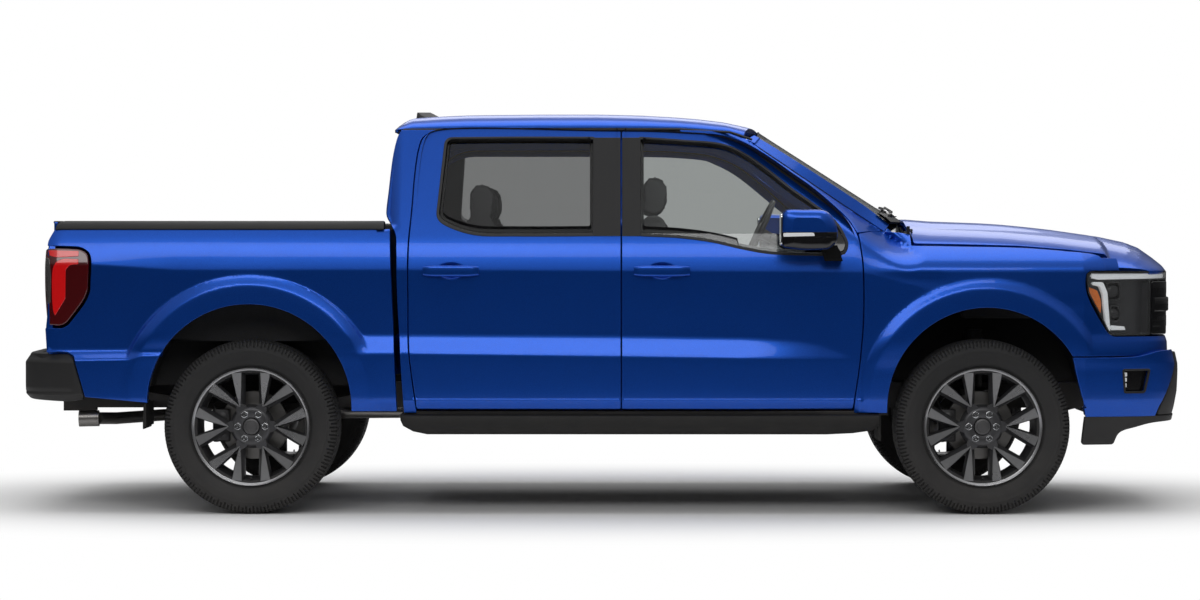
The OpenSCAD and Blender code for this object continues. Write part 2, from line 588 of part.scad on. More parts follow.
// ---- chassis ------------------------------------------------------------------------------------
receiver_z = 490;
receiver_o = receiver_in / 2 + receiver_wall;
frame_rear = -length / 2 + 165;
frame_front = length / 2 - 165;
receiver_rear = -length / 2 + 60;
module frame_rails() color("dimgray") both_sides() {
    block([frame_rear, rail_y - rail_w, rail_z], [frame_front, rail_y, rail_top_z]);
    // Rubber mounts under the cab.
    for (x = [-2600, -1500, -700]) translate([front_axle_x + x, rail_y - rail_w / 2, rail_top_z - 1])
        cylinder(h = cab_floor_z - rail_top_z + 1, r = 36);
}
module crossmembers() color("dimgray") {
    for (x = [front_axle_x + 700, front_axle_x - 1500, front_axle_x - 2500, rear_axle_x + 480, rear_axle_x - 500])
        block([x, -rail_y + rail_w, rail_z + 10], [x + 80, rail_y - rail_w, rail_top_z - 20]);
    // Rear cross tube with the tow receiver under it.
    block([frame_rear, -rail_y + rail_w, receiver_z + receiver_in / 2], [frame_rear + 80, rail_y - rail_w, rail_top_z - 20]);
    difference() {
        block([receiver_rear, -receiver_o, receiver_z - receiver_o],
            [frame_rear + 64, receiver_o, receiver_z + receiver_o]);
        block([receiver_rear - 1, -receiver_in / 2, receiver_z - receiver_in / 2],
            [frame_rear + 65, receiver_in / 2, receiver_z + receiver_in / 2]);
        across(receiver_rear + 60, receiver_z, receiver_pin_d / 2, -60, 60);
    }
}
module engine_block() color("silver") translate([front_axle_x, 0, 0]) {
    block([-400 + 10, -290, 560], [400, 290, 1150]);
    block([-1200, -140, 440], [-390, 140, 630]);
    both_sides() block([0, 290, 560], [100, rail_y - rail_w, 600]);
}
pipe_r = 30;
module exhaust() color("darkgray") {
    bent_bar([
        [front_axle_x - 700, -215, 455], [front_axle_x - 1700, -215, 455],
        [rear_axle_x + 420, -335, 470], [rear_axle_x + 180, -345, 545], [rear_axle_x - 180, -345, 545],
        [rear_axle_x - 420, -345, 462], [rear_axle_x - 700, -760, 462], [rear_axle_x - 775, -860, 468]], pipe_r);
    difference() {
        rod([rear_axle_x - 770, -860, 468], [rear_axle_x - 868, -866, 466], 40);
        rod([rear_axle_x - 800, -860, 468], [rear_axle_x - 900, -868, 465.5], 35);
    }
    block([front_axle_x - 2350, -310, 400], [front_axle_x - 1750, -110, 500 - 6]);
    block([rear_axle_x - 60, -rail_y + rail_w, 560], [rear_axle_x - 30, -355, 580]);
}
module fuel_tank() color("dimgray") translate([front_axle_x, 0, 0])
    side_slab([[-2750, 600], [-2750, 450], [-2700, 410], [-1700, 410], [-1650, 450], [-1650, 600]], rail_y, 770);

hub_r = hub_bore_d / 2 - run_fit;
wheel_in = track / 2 - 18;
disc_y = wheel_in - 15;
turn_gap = 5.5;
// Brake disc and hub spindle of one corner, pointing to +Y, from the wheel centre.
module corner_hub() {
    rotate([-90, 0, 0]) {
        translate([0, 0, disc_y - 24]) cylinder(h = 24, r = disc_d / 2);
        translate([0, 0, disc_y - 24]) cylinder(h = wheel_in - disc_y + 24 - turn_gap, r = 70);
        translate([0, 0, disc_y]) cylinder(h = wheel_in - disc_y + 36, r = hub_r);
    }
    // Caliper over the disc's edge, on a bracket.
    difference() {
        union() {
            block([-disc_d / 2 - 25, disc_y - 54, -80], [-disc_d / 2 + 50, disc_y + 22, 80]);
            block([-disc_d / 2, disc_y - 64, -35], [0, disc_y - 44, 35]);
        }
        block([-disc_d / 2 - 3, disc_y - 27, -90], [-disc_d / 2 + 60, disc_y + 3, 90]);
    }
    rotate([-90, 0, 0]) translate([0, 0, disc_y - 64]) cylinder(h = 64, r = 55);
}
module rear_axle() color("dimgray") translate([rear_axle_x, 0, axle_z]) {
    rod([0, -disc_y, 0], [0, disc_y, 0], 45);
    sphere(r = 135);
    rod([120, 0, 20], [wheelbase - 1200.5, 0, 38], 38);
    both_sides() {
        corner_hub();
        block([-45, 515, 0], [45, 585, 50]);
    }
}
arm_low_z = axle_z - 112;
arm_top_z = axle_z + 140;
arm_t = 32;
module control_arm(z) difference() {
    union() {
        block([-60, rail_y, z], [60, kingpin_y - 60, z + arm_t]);
        translate([0, kingpin_y, z]) cylinder(h = arm_t, r = 34);
        translate([0, 0, z]) linear_extrude(arm_t) polygon([
            [-60, kingpin_y - 60], [60, kingpin_y - 60], [30, kingpin_y], [-30, kingpin_y]]);
    }
    translate([0, kingpin_y, z - 1]) cylinder(h = arm_t + 2, d = kingpin_d);
}
SPRING = [[620, 560], [300, 505], [60, 482 - 432 + axle_z], [-60, 482 - 432 + axle_z], [-300, 505], [-640, 560]];
module suspension() color("dimgray") both_sides() {
    translate([front_axle_x, 0, 0]) {
        control_arm(arm_low_z);
        control_arm(arm_top_z);
        // Bracket from the rail down to the lower arm, then the spring leg between the arms and the rail.
        block([-50, rail_y, arm_low_z + arm_t], [50, rail_y + 30, rail_z + 40]);
        translate([0, rail_y + 85, arm_top_z + arm_t]) cylinder(h = 300, r = 45);
        block([-40, rail_y, rail_top_z - 18], [40, rail_y + 60, rail_top_z]);
    }
    translate([rear_axle_x, 0, 0]) {
        side_slab(concat(SPRING, reversed([for (p = SPRING) [p[0], p[1] + 36]])), 520, 580);
        for (x = [600, -640]) block([x, rail_y, 560], [x + 40, 580, 600]);
    }
}
module knuckle() color("gray") {
    translate([0, 0, axle_z]) corner_hub();
    block([-40, kingpin_y - 25, arm_low_z + arm_t + turn_gap], [40, kingpin_y + 15, arm_top_z - turn_gap]);
    translate([0, kingpin_y, arm_low_z])
        cylinder(h = arm_top_z + arm_t - arm_low_z, r = kingpin_d / 2 - run_fit);
}

// ---- wheels -------------------------------------------------------------------------------------
rim_r = rim_d / 2;
bead_r = rim_r - 13;
rim_half = 122;
arm_r = bead_r - 5;
hub_face = 88;
// Rim section as [radius, offset outward from the wheel's middle plane].
RIM = [
    [rim_r, rim_half], [rim_r, rim_half - 9], [bead_r, rim_half - 12], [bead_r, 40], [bead_r - 22, 20],
    [bead_r - 22, -60], [bead_r, -80], [bead_r, -rim_half + 12], [rim_r, -rim_half + 9], [rim_r, -rim_half],
    [bead_r - 8, -rim_half], [bead_r - 8, -84], [bead_r - 30, -64], [bead_r - 30, 24], [bead_r - 10, 44],
    [bead_r - 10, rim_half]];
spoke_pairs = 6;
function arm_end(a, y) = [arm_r * cos(a) - y * sin(a), arm_r * sin(a) + y * cos(a)];
module rim() color("silver") difference() {
    union() {
        rotate_extrude() polygon(RIM);
        translate([0, 0, -18]) cylinder(h = hub_face + 18, r = 92);
        for (k = [0:spoke_pairs - 1]) rotate([0, 0, k * 360 / spoke_pairs])
            translate([0, 0, 48]) linear_extrude(hub_face - 44) polygon([
                [82, -34], arm_end(-14.5, -15), arm_end(-14.5, 15), [135, 0], arm_end(14.5, -15), arm_end(14.5, 15),
                [82, 34]]);
        // Wheel nuts.
        for (k = [0:5]) rotate([0, 0, k * 60]) translate([stud_circle_d / 2, 0, hub_face - 2]) cylinder(h = 24, r = 11);
    }
    translate([0, 0, -19]) cylinder(h = 95, d = hub_bore_d);
}
tyre_half = tyre_w / 2;
tyre_r = tyre_d / 2;
seat_r = bead_r + 0.3;
TYRE = [
    [seat_r, 108], [rim_r + 6, 109.5], [rim_r + 14, 124], [rim_r + 50, tyre_half - 3], [rim_r + 75, tyre_half],
    [tyre_r - 42, tyre_half - 3], [tyre_r - 16, tyre_half - 14], [tyre_r - 5, tyre_half - 32], [tyre_r, tyre_half - 60]];
TYRE_IN = [
    [seat_r, 88], [rim_r + 10, 92], [rim_r + 30, 106], [rim_r + 62, tyre_half - 22], [tyre_r - 48, tyre_half - 22],
    [tyre_r - 26, tyre_half - 40], [tyre_r - 22, tyre_half - 60]];
function flipped(pts) = [for (p = reversed(pts)) [p[0], -p[1]]];
module tyre() color("dimgray") rotate_extrude()
    polygon(concat(TYRE, flipped(TYRE), reversed(flipped(TYRE_IN)), reversed(TYRE_IN)));
// Places a wheel piece, drawn with its outer face up, at a wheel centre on the left.
module at_wheel(x) translate([x, track / 2, axle_z]) rotate([-90, 0, 0]) children();

// ---- mirrors ------------------------------------------------------------------------------------
module door_mirror() color("royalblue") translate([front_axle_x, 0, 0]) difference() {
    union() {
        side_slab([[-1012, 1400], [-1005, 1490], [-990, 1504], [-800, 1500], [-765, 1480], [-735, 1420],
            [-730, 1345], [-760, 1312], [-1005, 1318]], 1030, 1200);
        block([-790, half_w - 60, 1250], [-700, 1078, 1284]);
        side_slab([[-790, 1250], [-700, 1250], [-735, 1345], [-825, 1345]], 1030, 1078);
    }
    section_slab(concat(SIDE, [[0, door_top_z], [0, SIDE[0][1]]]), -1100, -600);
    block([-1020, 1045, 1330], [-1002, 1185, 1490]);
}

// ---- inside the cab -----------------------------------------------------------------------------
seat_x = -1640;
module seat(w, back_top, head) {
    side_slab([[seat_x - 40, 860], [seat_x + 500, 900], [seat_x + 530, 1010], [seat_x + 500, 1040],
        [seat_x + 60, 1010], [seat_x - 60, back_top], [seat_x - 150, back_top], [seat_x - 130, 1000]], -w, w);
    translate([seat_x - 140, 0, 0]) block([0, -w / 2, back_top], [90, w / 2, back_top + head]);
    block([seat_x, -w + 40, 665], [seat_x + 400, w - 40, 870]);
}
module seats() color("dimgray") translate([front_axle_x, 0, 0]) {
    for (y = [-430, 430]) translate([120, y, 0]) seat(250, 1480, 190);
    translate([-880, 0, 0]) seat(660, 1470, 130);
}
module dashboard() color("dimgray") translate([front_axle_x, 0, 0]) {
    side_slab([[wall_x - 20, 1040], [wall_x - 20, 1370], [-620, 1395], [-800, 1370], [-840, 1300], [-800, 1120], [-700, 1040]],
        -790, 790);
    block([-1450, -120, 665], [-700, 120, 960]);
    block([-760, -120, 665], [-640, 120, 1060]);
    translate([-1040, 400, 1400]) rotate([0, 115, 0]) {
        rotate_extrude() translate([178, 0]) circle(r = 15, $fn = 24);
        for (a = [0, 120, 240]) rotate([0, 0, a + 180]) block([0, -16, -8], [175, 16, 8]);
        translate([0, 0, -14]) cylinder(h = 28, r = 55);
        cylinder(h = 330, r = 26);
    }
}

frame_rails();
crossmembers();
cab_sides();
cab_floor();
cab_back();
roof();
cab_glass();
fenders();
bed_box();
bedsides();
bed_rail_caps();
front_bumper();
front_valance();
grille();
headlamps();
taillamps();
rear_bumper();
running_boards();
wheel_liners();
engine_block();
exhaust();
fuel_tank();
rear_axle();
suspension();
seats();
dashboard();
hood();
tailgate();
color("royalblue") door_front();  // door_front_left
color("royalblue") mirrored() door_front();  // door_front_right
color("royalblue") door_rear();  // door_rear_left
color("royalblue") mirrored() door_rear();  // door_rear_right
color("slategray", 0.4) side_glass(FRONT_WINDOW);  // glass_front_left
color("slategray", 0.4) mirrored() side_glass(FRONT_WINDOW);  // glass_front_right
color("slategray", 0.4) side_glass(REAR_WINDOW);  // glass_rear_left
color("slategray", 0.4) mirrored() side_glass(REAR_WINDOW);  // glass_rear_right
door_mirror();  // mirror_left
mirrored() door_mirror();  // mirror_right
translate([front_axle_x, 0, 0]) knuckle();  // knuckle_left
mirrored() translate([front_axle_x, 0, 0]) knuckle();  // knuckle_right
at_wheel(front_axle_x) rim();  // rim_front_left
mirrored() at_wheel(front_axle_x) rim();  // rim_front_right
at_wheel(rear_axle_x) rim();  // rim_rear_left
mirrored() at_wheel(rear_axle_x) rim();  // rim_rear_right
at_wheel(front_axle_x) tyre();  // tyre_front_left
mirrored() at_wheel(front_axle_x) tyre();  // tyre_front_right
at_wheel(rear_axle_x) tyre();  // tyre_rear_left
mirrored() at_wheel(rear_axle_x) tyre();  // tyre_rear_right
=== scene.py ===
"""Finished look of a crew-cab pickup truck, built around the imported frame.

Outlines are written in millimetres, measured from the front axle (x), the middle of the truck (y)
and the ground (z). One scale factor turns them into the frame's metres.
"""
import json
import math

import bmesh
import bpy
import numpy as np
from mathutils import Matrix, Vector
from mathutils.bvhtree import BVHTree
from mathutils.geometry import delaunay_2d_cdt


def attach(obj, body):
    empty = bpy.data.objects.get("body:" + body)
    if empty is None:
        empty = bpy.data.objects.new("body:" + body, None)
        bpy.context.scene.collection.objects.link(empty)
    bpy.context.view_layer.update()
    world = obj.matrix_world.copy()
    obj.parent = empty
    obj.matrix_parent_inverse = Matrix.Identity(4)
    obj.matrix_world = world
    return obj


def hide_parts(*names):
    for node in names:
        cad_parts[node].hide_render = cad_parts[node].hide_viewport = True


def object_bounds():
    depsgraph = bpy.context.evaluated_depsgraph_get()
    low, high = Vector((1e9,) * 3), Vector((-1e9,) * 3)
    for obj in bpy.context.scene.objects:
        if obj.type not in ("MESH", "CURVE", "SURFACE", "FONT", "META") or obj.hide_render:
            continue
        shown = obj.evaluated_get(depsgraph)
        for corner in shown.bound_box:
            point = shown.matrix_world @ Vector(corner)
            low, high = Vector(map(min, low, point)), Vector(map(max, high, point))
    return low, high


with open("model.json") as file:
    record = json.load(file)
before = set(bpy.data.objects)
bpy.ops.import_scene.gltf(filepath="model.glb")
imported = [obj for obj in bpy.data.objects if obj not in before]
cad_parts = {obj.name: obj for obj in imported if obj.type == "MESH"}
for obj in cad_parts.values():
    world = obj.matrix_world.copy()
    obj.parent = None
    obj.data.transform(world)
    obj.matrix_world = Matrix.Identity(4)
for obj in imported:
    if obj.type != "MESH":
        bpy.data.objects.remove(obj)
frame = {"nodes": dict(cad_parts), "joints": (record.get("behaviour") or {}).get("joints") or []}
cad_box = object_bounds()

MM = 0.001
JOINTS = {j["name"]: j for j in frame["joints"]}
FRONT = JOINTS["wheel_front_left_spin"]["pos_m"][0] / MM
REAR = JOINTS["wheel_rear_left_spin"]["pos_m"][0] / MM - FRONT
WHEEL_Y = JOINTS["wheel_front_left_spin"]["pos_m"][1] / MM
WHEEL_Z = JOINTS["wheel_front_left_spin"]["pos_m"][2] / MM
NOSE_X = cad_box[1][0] / MM - FRONT
TAIL_X = cad_box[0][0] / MM - FRONT
SIDES = ("left", "right")
FLAT = 1e9      # cell size of a panel that needs no points inside its outline


# ---- outlines ----
def run_through(points, step):
    """Smooth line through points, end to end."""
    p = np.array(points, float)
    if len(p) == 2:
        n = max(int(np.linalg.norm(p[1] - p[0]) / step), 1)
        return p[0] + (p[1] - p[0]) * np.linspace(0, 1, n + 1)[:, None]
    ext = np.vstack([2 * p[0] - p[1], p, 2 * p[-1] - p[-2]])
    knot = np.cumsum([0] + [max(np.linalg.norm(d), 1e-6) ** 0.5 for d in np.diff(ext, axis=0)])
    out = []
    for i in range(1, len(ext) - 2):
        t0, t1, t2, t3 = knot[i - 1:i + 3]
        n = max(int(np.linalg.norm(ext[i + 1] - ext[i]) / step), 2)
        t = np.linspace(t1, t2, n + 1)[:-1, None]
        a1 = (t1 - t) / (t1 - t0) * ext[i - 1] + (t - t0) / (t1 - t0) * ext[i]
        a2 = (t2 - t) / (t2 - t1) * ext[i] + (t - t1) / (t2 - t1) * ext[i + 1]
        a3 = (t3 - t) / (t3 - t2) * ext[i + 1] + (t - t2) / (t3 - t2) * ext[i + 2]
        b1 = (t2 - t) / (t2 - t0) * a1 + (t - t0) / (t2 - t0) * a2
        b2 = (t3 - t) / (t3 - t1) * a2 + (t - t1) / (t3 - t1) * a3
        out.append((t2 - t) / (t2 - t1) * b1 + (t - t1) / (t2 - t1) * b2)
    return np.vstack(out + [p[-1:]])


def trimmed(line, length):
    """The line without its last stretch of that length."""
    left = length
    while len(line) > 2:
        seg = np.linalg.norm(line[-1] - line[-2])
        if seg > left:
            break
        left -= seg
        line = line[:-1]
    seg = max(np.linalg.norm(line[-1] - line[-2]), 1e-9)
    end = line[-1] + (line[-2] - line[-1]) * min(left / seg, 0.98)
    return np.vstack([line[:-1], end])


def outline(points, step=14.0):
    """Closed outline. A point (a, b) is passed smoothly, and (a, b, r) is a corner rounded by r."""
    first = next(i for i, p in enumerate(points) if len(p) == 3)
    pts = list(points[first:]) + list(points[:first + 1])
    marks = [i for i, p in enumerate(pts) if len(p) == 3]
    runs = [run_through([q[:2] for q in pts[a:b + 1]], step) for a, b in zip(marks, marks[1:])]
    size = [np.linalg.norm(np.diff(r, axis=0), axis=1).sum() for r in runs]
    loop = []
    for k, line in enumerate(runs):
        r0, r1 = pts[marks[k]][2], pts[marks[k + 1]][2]
        if r1 > 0:
            line = trimmed(line, min(r1, 0.48 * size[k]))
        if r0 > 0:
            line = trimmed(line[::-1], min(r0, 0.48 * size[k]))[::-1]
        loop.append(line)
    out = []
    for k, line in enumerate(loop):
        out.append(line)
        corner, radius = np.array(pts[marks[k + 1]][:2], float), pts[marks[k + 1]][2]
        after = loop[(k + 1) % len(loop)][0]
        if radius > 0:
            n = max(int(radius / 6), 4)
            t = np.linspace(0, 1, n + 1)[1:-1, None]
            out.append((1 - t) ** 2 * line[-1] + 2 * t * (1 - t) * corner + t ** 2 * after)
    loop = np.vstack(out)
    keep = np.linalg.norm(loop - np.roll(loop, 1, axis=0), axis=1) > 0.05
    loop = loop[keep]
    return loop if area(loop) > 0 else loop[::-1]


def rectangle(x0, y0, x1, y1, r, step=14.0):
    """Rounded rectangle between two corners."""
    return outline([(x0, y0, r), (x1, y0, r), (x1, y1, r), (x0, y1, r)], step)


def taper(half_low, low, half_high, high, r, step=14.0):
    """Rounded shape with equal sides that changes width from low to high."""
    return outline([(-half_low, low, r), (half_low, low, r), (half_high, high, r), (-half_high, high, r)], step)


def opposite(points):
    """The points' mirror images, in the opposite order."""
    return [(-p[0], *p[1:]) for p in points[::-1]]


def xyz(*columns):
    """Columns of coordinates side by side; a single number fills its whole column."""
    return np.stack(np.broadcast_arrays(*columns), 1)


def area(loop):
    """Signed area of an outline."""
    x, y = loop[:, 0], loop[:, 1]
    return 0.5 * float(np.sum(x * np.roll(y, -1) - y * np.roll(x, -1)))


def circle(cx, cy, r, n=64):
    """Round outline."""
    a = np.arange(n) * 2 * math.pi / n
    return xyz(cx + r * np.cos(a), cy + r * np.sin(a))


def turn_angles(n):
    """n equal steps of a full turn."""
    return np.linspace(0, 2 * math.pi, n, endpoint=False)


def grown(loop, d):
    """The outline moved outwards by d."""
    a, b = np.roll(loop, 1, axis=0), np.roll(loop, -1, axis=0)
    e0, e1 = loop - a, b - loop
    n0 = xyz(e0[:, 1], -e0[:, 0]) / np.maximum(np.linalg.norm(e0, axis=1), 1e-9)[:, None]
    n1 = xyz(e1[:, 1], -e1[:, 0]) / np.maximum(np.linalg.norm(e1, axis=1), 1e-9)[:, None]
    n = n0 + n1
    n /= np.maximum(np.linalg.norm(n, axis=1), 1e-6)[:, None]
    return loop + n * d / np.maximum((n * n0).sum(1), 0.5)[:, None]


def ring_at(x, section):
    """A (y, z) section as points at one x."""
    return xyz(x, section[:, 0], section[:, 1])


def inside(points, loop):
    """Which points lie in the outline."""
    x, y = points[:, 0][:, None], points[:, 1][:, None]
    x0, y0 = loop[:, 0], loop[:, 1]
    x1, y1 = np.roll(x0, -1), np.roll(y0, -1)
    dy = np.where(y1 == y0, 1e-12, y1 - y0)
    hit = ((y0 > y) != (y1 > y)) & (x < (x1 - x0) * (y - y0) / dy + x0)
    return hit.sum(1) % 2 == 1


def clear_of(points, loop, d):
    """Which points lie more than d from the outline's edge."""
    a, b = loop, np.roll(loop, -1, axis=0)
    ab = b - a
    den = np.maximum((ab ** 2).sum(1), 1e-9)
    keep = np.ones(len(points), bool)
    for s in range(0, len(points), 4000):
        p = points[s:s + 4000, None, :]
        t = np.clip(((p - a) * ab).sum(2) / den, 0, 1)
        gap = np.linalg.norm(p - (a + t[..., None] * ab), axis=2).min(1)
        keep[s:s + 4000] = gap > d
    return keep


def ramp(d, r):
    """Smooth version of max(d, 0), rounded over about r."""
    return 0.5 * (d + np.sqrt(d * d + r * r))


def smooth_step(a, b, v):
    """0 at a and 1 at b, eased at both ends; a may lie above b."""
    t = np.clip((v - a) / (b - a), 0, 1)
    return t * t * (3 - 2 * t)


def pressed(u, pitch, low, high):
    """Ribs pressed into a sheet: 0 in the grooves and 1 on the ribs, one of each in every pitch."""
    return smooth_step(low, high, np.abs(((u / pitch) % 1) - 0.5) * 2)


# ---- meshes ----
class Part:
    """Collects faces in millimetres and makes one mesh of them."""

    def __init__(self):
        self.verts, self.faces, self.normals = [], [], []
        self.count = 0

    def add(self, verts, faces, normals=None):
        verts = np.asarray(verts, float)
        self.verts.append(verts)
        self.normals.append(np.zeros_like(verts) if normals is None else np.asarray(normals, float))
        self.faces += [tuple(int(i) + self.count for i in f) for f in faces]
        self.count += len(verts)
        return self

    def grid(self, points, close_u=False, close_v=False, flip=False):
        """Quads over an array of points [rows, columns, 3]."""
        p = np.asarray(points, float)
        n, m = p.shape[:2]
        faces = []
        for i in range(n if close_u else n - 1):
            for j in range(m if close_v else m - 1):
                a, b = i * m + j, i * m + (j + 1) % m
                c, d = (i + 1) % n * m + (j + 1) % m, (i + 1) % n * m + j
                faces.append((a, d, c, b) if flip else (a, b, c, d))
        return self.add(p.reshape(-1, 3), faces)

    def tube(self, points, radius, sides=12, closed=False, caps=True):
        """Round bar along a line of points."""
        p = np.asarray(points, float)
        t = np.gradient(p, axis=0) if not closed else np.roll(p, -1, 0) - np.roll(p, 1, 0)
        t /= np.maximum(np.linalg.norm(t, axis=1), 1e-9)[:, None]
        up = np.array([0, 0, 1.0]) if abs(t[0][2]) < 0.9 else np.array([1.0, 0, 0])
        rings = []
        for k, d in enumerate(t):
            side = np.cross(d, up)
            side /= np.linalg.norm(side)
            up = np.cross(side, d)
            a = np.arange(sides) * 2 * math.pi / sides
            r = radius[k] if np.ndim(radius) else radius
            rings.append(p[k] + r * (np.cos(a)[:, None] * side + np.sin(a)[:, None] * up))
        self.grid(rings, close_u=closed, close_v=True)
        return self.ends(sides, len(rings), -1, 1) if caps and not closed else self

    def lathe(self, section, centre, axis=1, sides=48, sign=1):
        """Section [(radius, offset)] turned about the row's X, Y or Z axis through centre."""
        s = np.array(section, float)
        a = np.arange(sides) * 2 * math.pi / sides
        rings = []
        for r, h in s:
            ring = np.zeros((sides, 3))
            ring[:, (axis + 1) % 3] = r * np.cos(a)
            ring[:, (axis + 2) % 3] = r * np.sin(a)
            ring[:, axis] = h * sign
            rings.append(ring + np.array(centre, float))
        return self.grid(rings, close_v=True, flip=sign > 0)

    def block(self, lo, hi, r=4.0, segments=2):
        """Box with rounded edges."""
        lo, hi = np.minimum(lo, hi), np.maximum(lo, hi)
        bm = bmesh.new()
        bmesh.ops.create_cube(bm, size=1.0)
        size = hi - lo
        for v in bm.verts:
            v.co = Vector((lo + hi) / 2 + np.array(v.co) * size)
        r = min(r, 0.45 * float(size.min()))
        if r > 0:
            bmesh.ops.bevel(bm, geom=bm.edges[:], offset=r, segments=segments, affect="EDGES", profile=0.5)
        return self.take(bm)

    def ends(self, n, rows, first=0, last=0):
        """Closes the last grid's end rings of n points; 1 faces one way, -1 the other, 0 stays open."""
        for start, way in ((self.count - n * rows, first), (self.count - n, last)):
            if way:
                self.faces.append(tuple(range(start, start + n))[::way])
        return self

    def take(self, bm):
        bm.verts.index_update()
        self.add([v.co[:] for v in bm.verts], [[v.index for v in f.verts] for f in bm.faces])
        bm.free()
        return self

    def slab(self, loop, low, high, plane="xz", r=2.0, holes=()):
        """Flat outline made solid between two heights, with rounded edges. plane says which axes it lies in."""
        axes = {"xz": (0, 2, 1), "xy": (0, 1, 2), "yz": (1, 2, 0)}[plane]

        def surf(u, v):
            out = np.zeros((len(u), 3))
            out[:, axes[0]], out[:, axes[1]], out[:, axes[2]] = u, v, high
            return out

        facing = np.zeros(3)
        facing[axes[2]] = math.copysign(1, high - low)
        return panel(self, loop, surf, facing, holes=holes, cell=FLAT, depth=abs(high - low), roll=r, back=True)

    def mirrored(self):
        """The same shape on the other side of the truck."""
        other = Part()
        for v, n in zip(self.verts, self.normals):
            other.verts.append(v * [1, -1, 1])
            other.normals.append(n * [1, -1, 1])
        other.faces = [f[::-1] for f in self.faces]
        other.count = self.count
        return other

    def make(self, name, material, body="chassis", slot=None, replaces=(), smooth=35.0):
        """The Blender piece, riding on its body."""
        verts = np.vstack(self.verts)
        verts[:, 0] += FRONT
        mesh = bpy.data.meshes.new(name)
        mesh.from_pydata((verts * MM).tolist(), [], self.faces)
        mesh.materials.append(material)
        obj = bpy.data.objects.new(name, mesh)
        bpy.context.scene.collection.objects.link(obj)
        mesh.polygons.foreach_set("use_smooth", [True] * len(mesh.polygons))
        set_normals(mesh, np.vstack(self.normals), math.radians(smooth))
        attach(obj, body)
        slot or SLOT_OF[material.name]
        if replaces:
            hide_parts(*replaces)
        return obj


def set_normals(mesh, given, limit):
    """Shades smoothly below the limit angle, and with the given normals where there are some."""
    mesh.update()
    loop_vert = np.zeros(len(mesh.loops), np.int64)
    mesh.loops.foreach_get("vertex_index", loop_vert)
    fn = np.zeros(len(mesh.polygons) * 3)
    mesh.polygons.foreach_get("normal", fn)
    fn = fn.reshape(-1, 3)
    total = np.zeros(len(mesh.polygons), np.int64)
    mesh.polygons.foreach_get("loop_total", total)
    loop_face = np.repeat(np.arange(len(total)), total)
    has = np.linalg.norm(given, axis=1) > 0.5
    if not has.any():
        mesh.set_sharp_from_angle(angle=limit)
        return
    sum_n = np.zeros((len(mesh.vertices), 3))
    areas = np.zeros(len(mesh.polygons))
    mesh.polygons.foreach_get("area", areas)
    np.add.at(sum_n, loop_vert, fn[loop_face] * areas[loop_face, None])
    sum_n /= np.maximum(np.linalg.norm(sum_n, axis=1), 1e-12)[:, None]
    n = np.where(has[loop_vert, None], given[loop_vert], sum_n[loop_vert])
    sharp = (n * fn[loop_face]).sum(1) < math.cos(math.radians(50))
    n[sharp] = fn[loop_face][sharp]
    mesh.normals_split_custom_set(n.tolist())


def surface_normals(surf, uv, facing):
    """Normals of surf at uv, and the sign that makes them look the way of facing."""
    e = 0.5
    du = surf(uv[:, 0] + e, uv[:, 1]) - surf(uv[:, 0] - e, uv[:, 1])
    dv = surf(uv[:, 0], uv[:, 1] + e) - surf(uv[:, 0], uv[:, 1] - e)
    n = np.cross(du, dv)
    n /= np.maximum(np.linalg.norm(n, axis=1), 1e-12)[:, None]
    sign = math.copysign(1, float((n @ np.asarray(facing, float)).sum()))
    return n * sign, sign


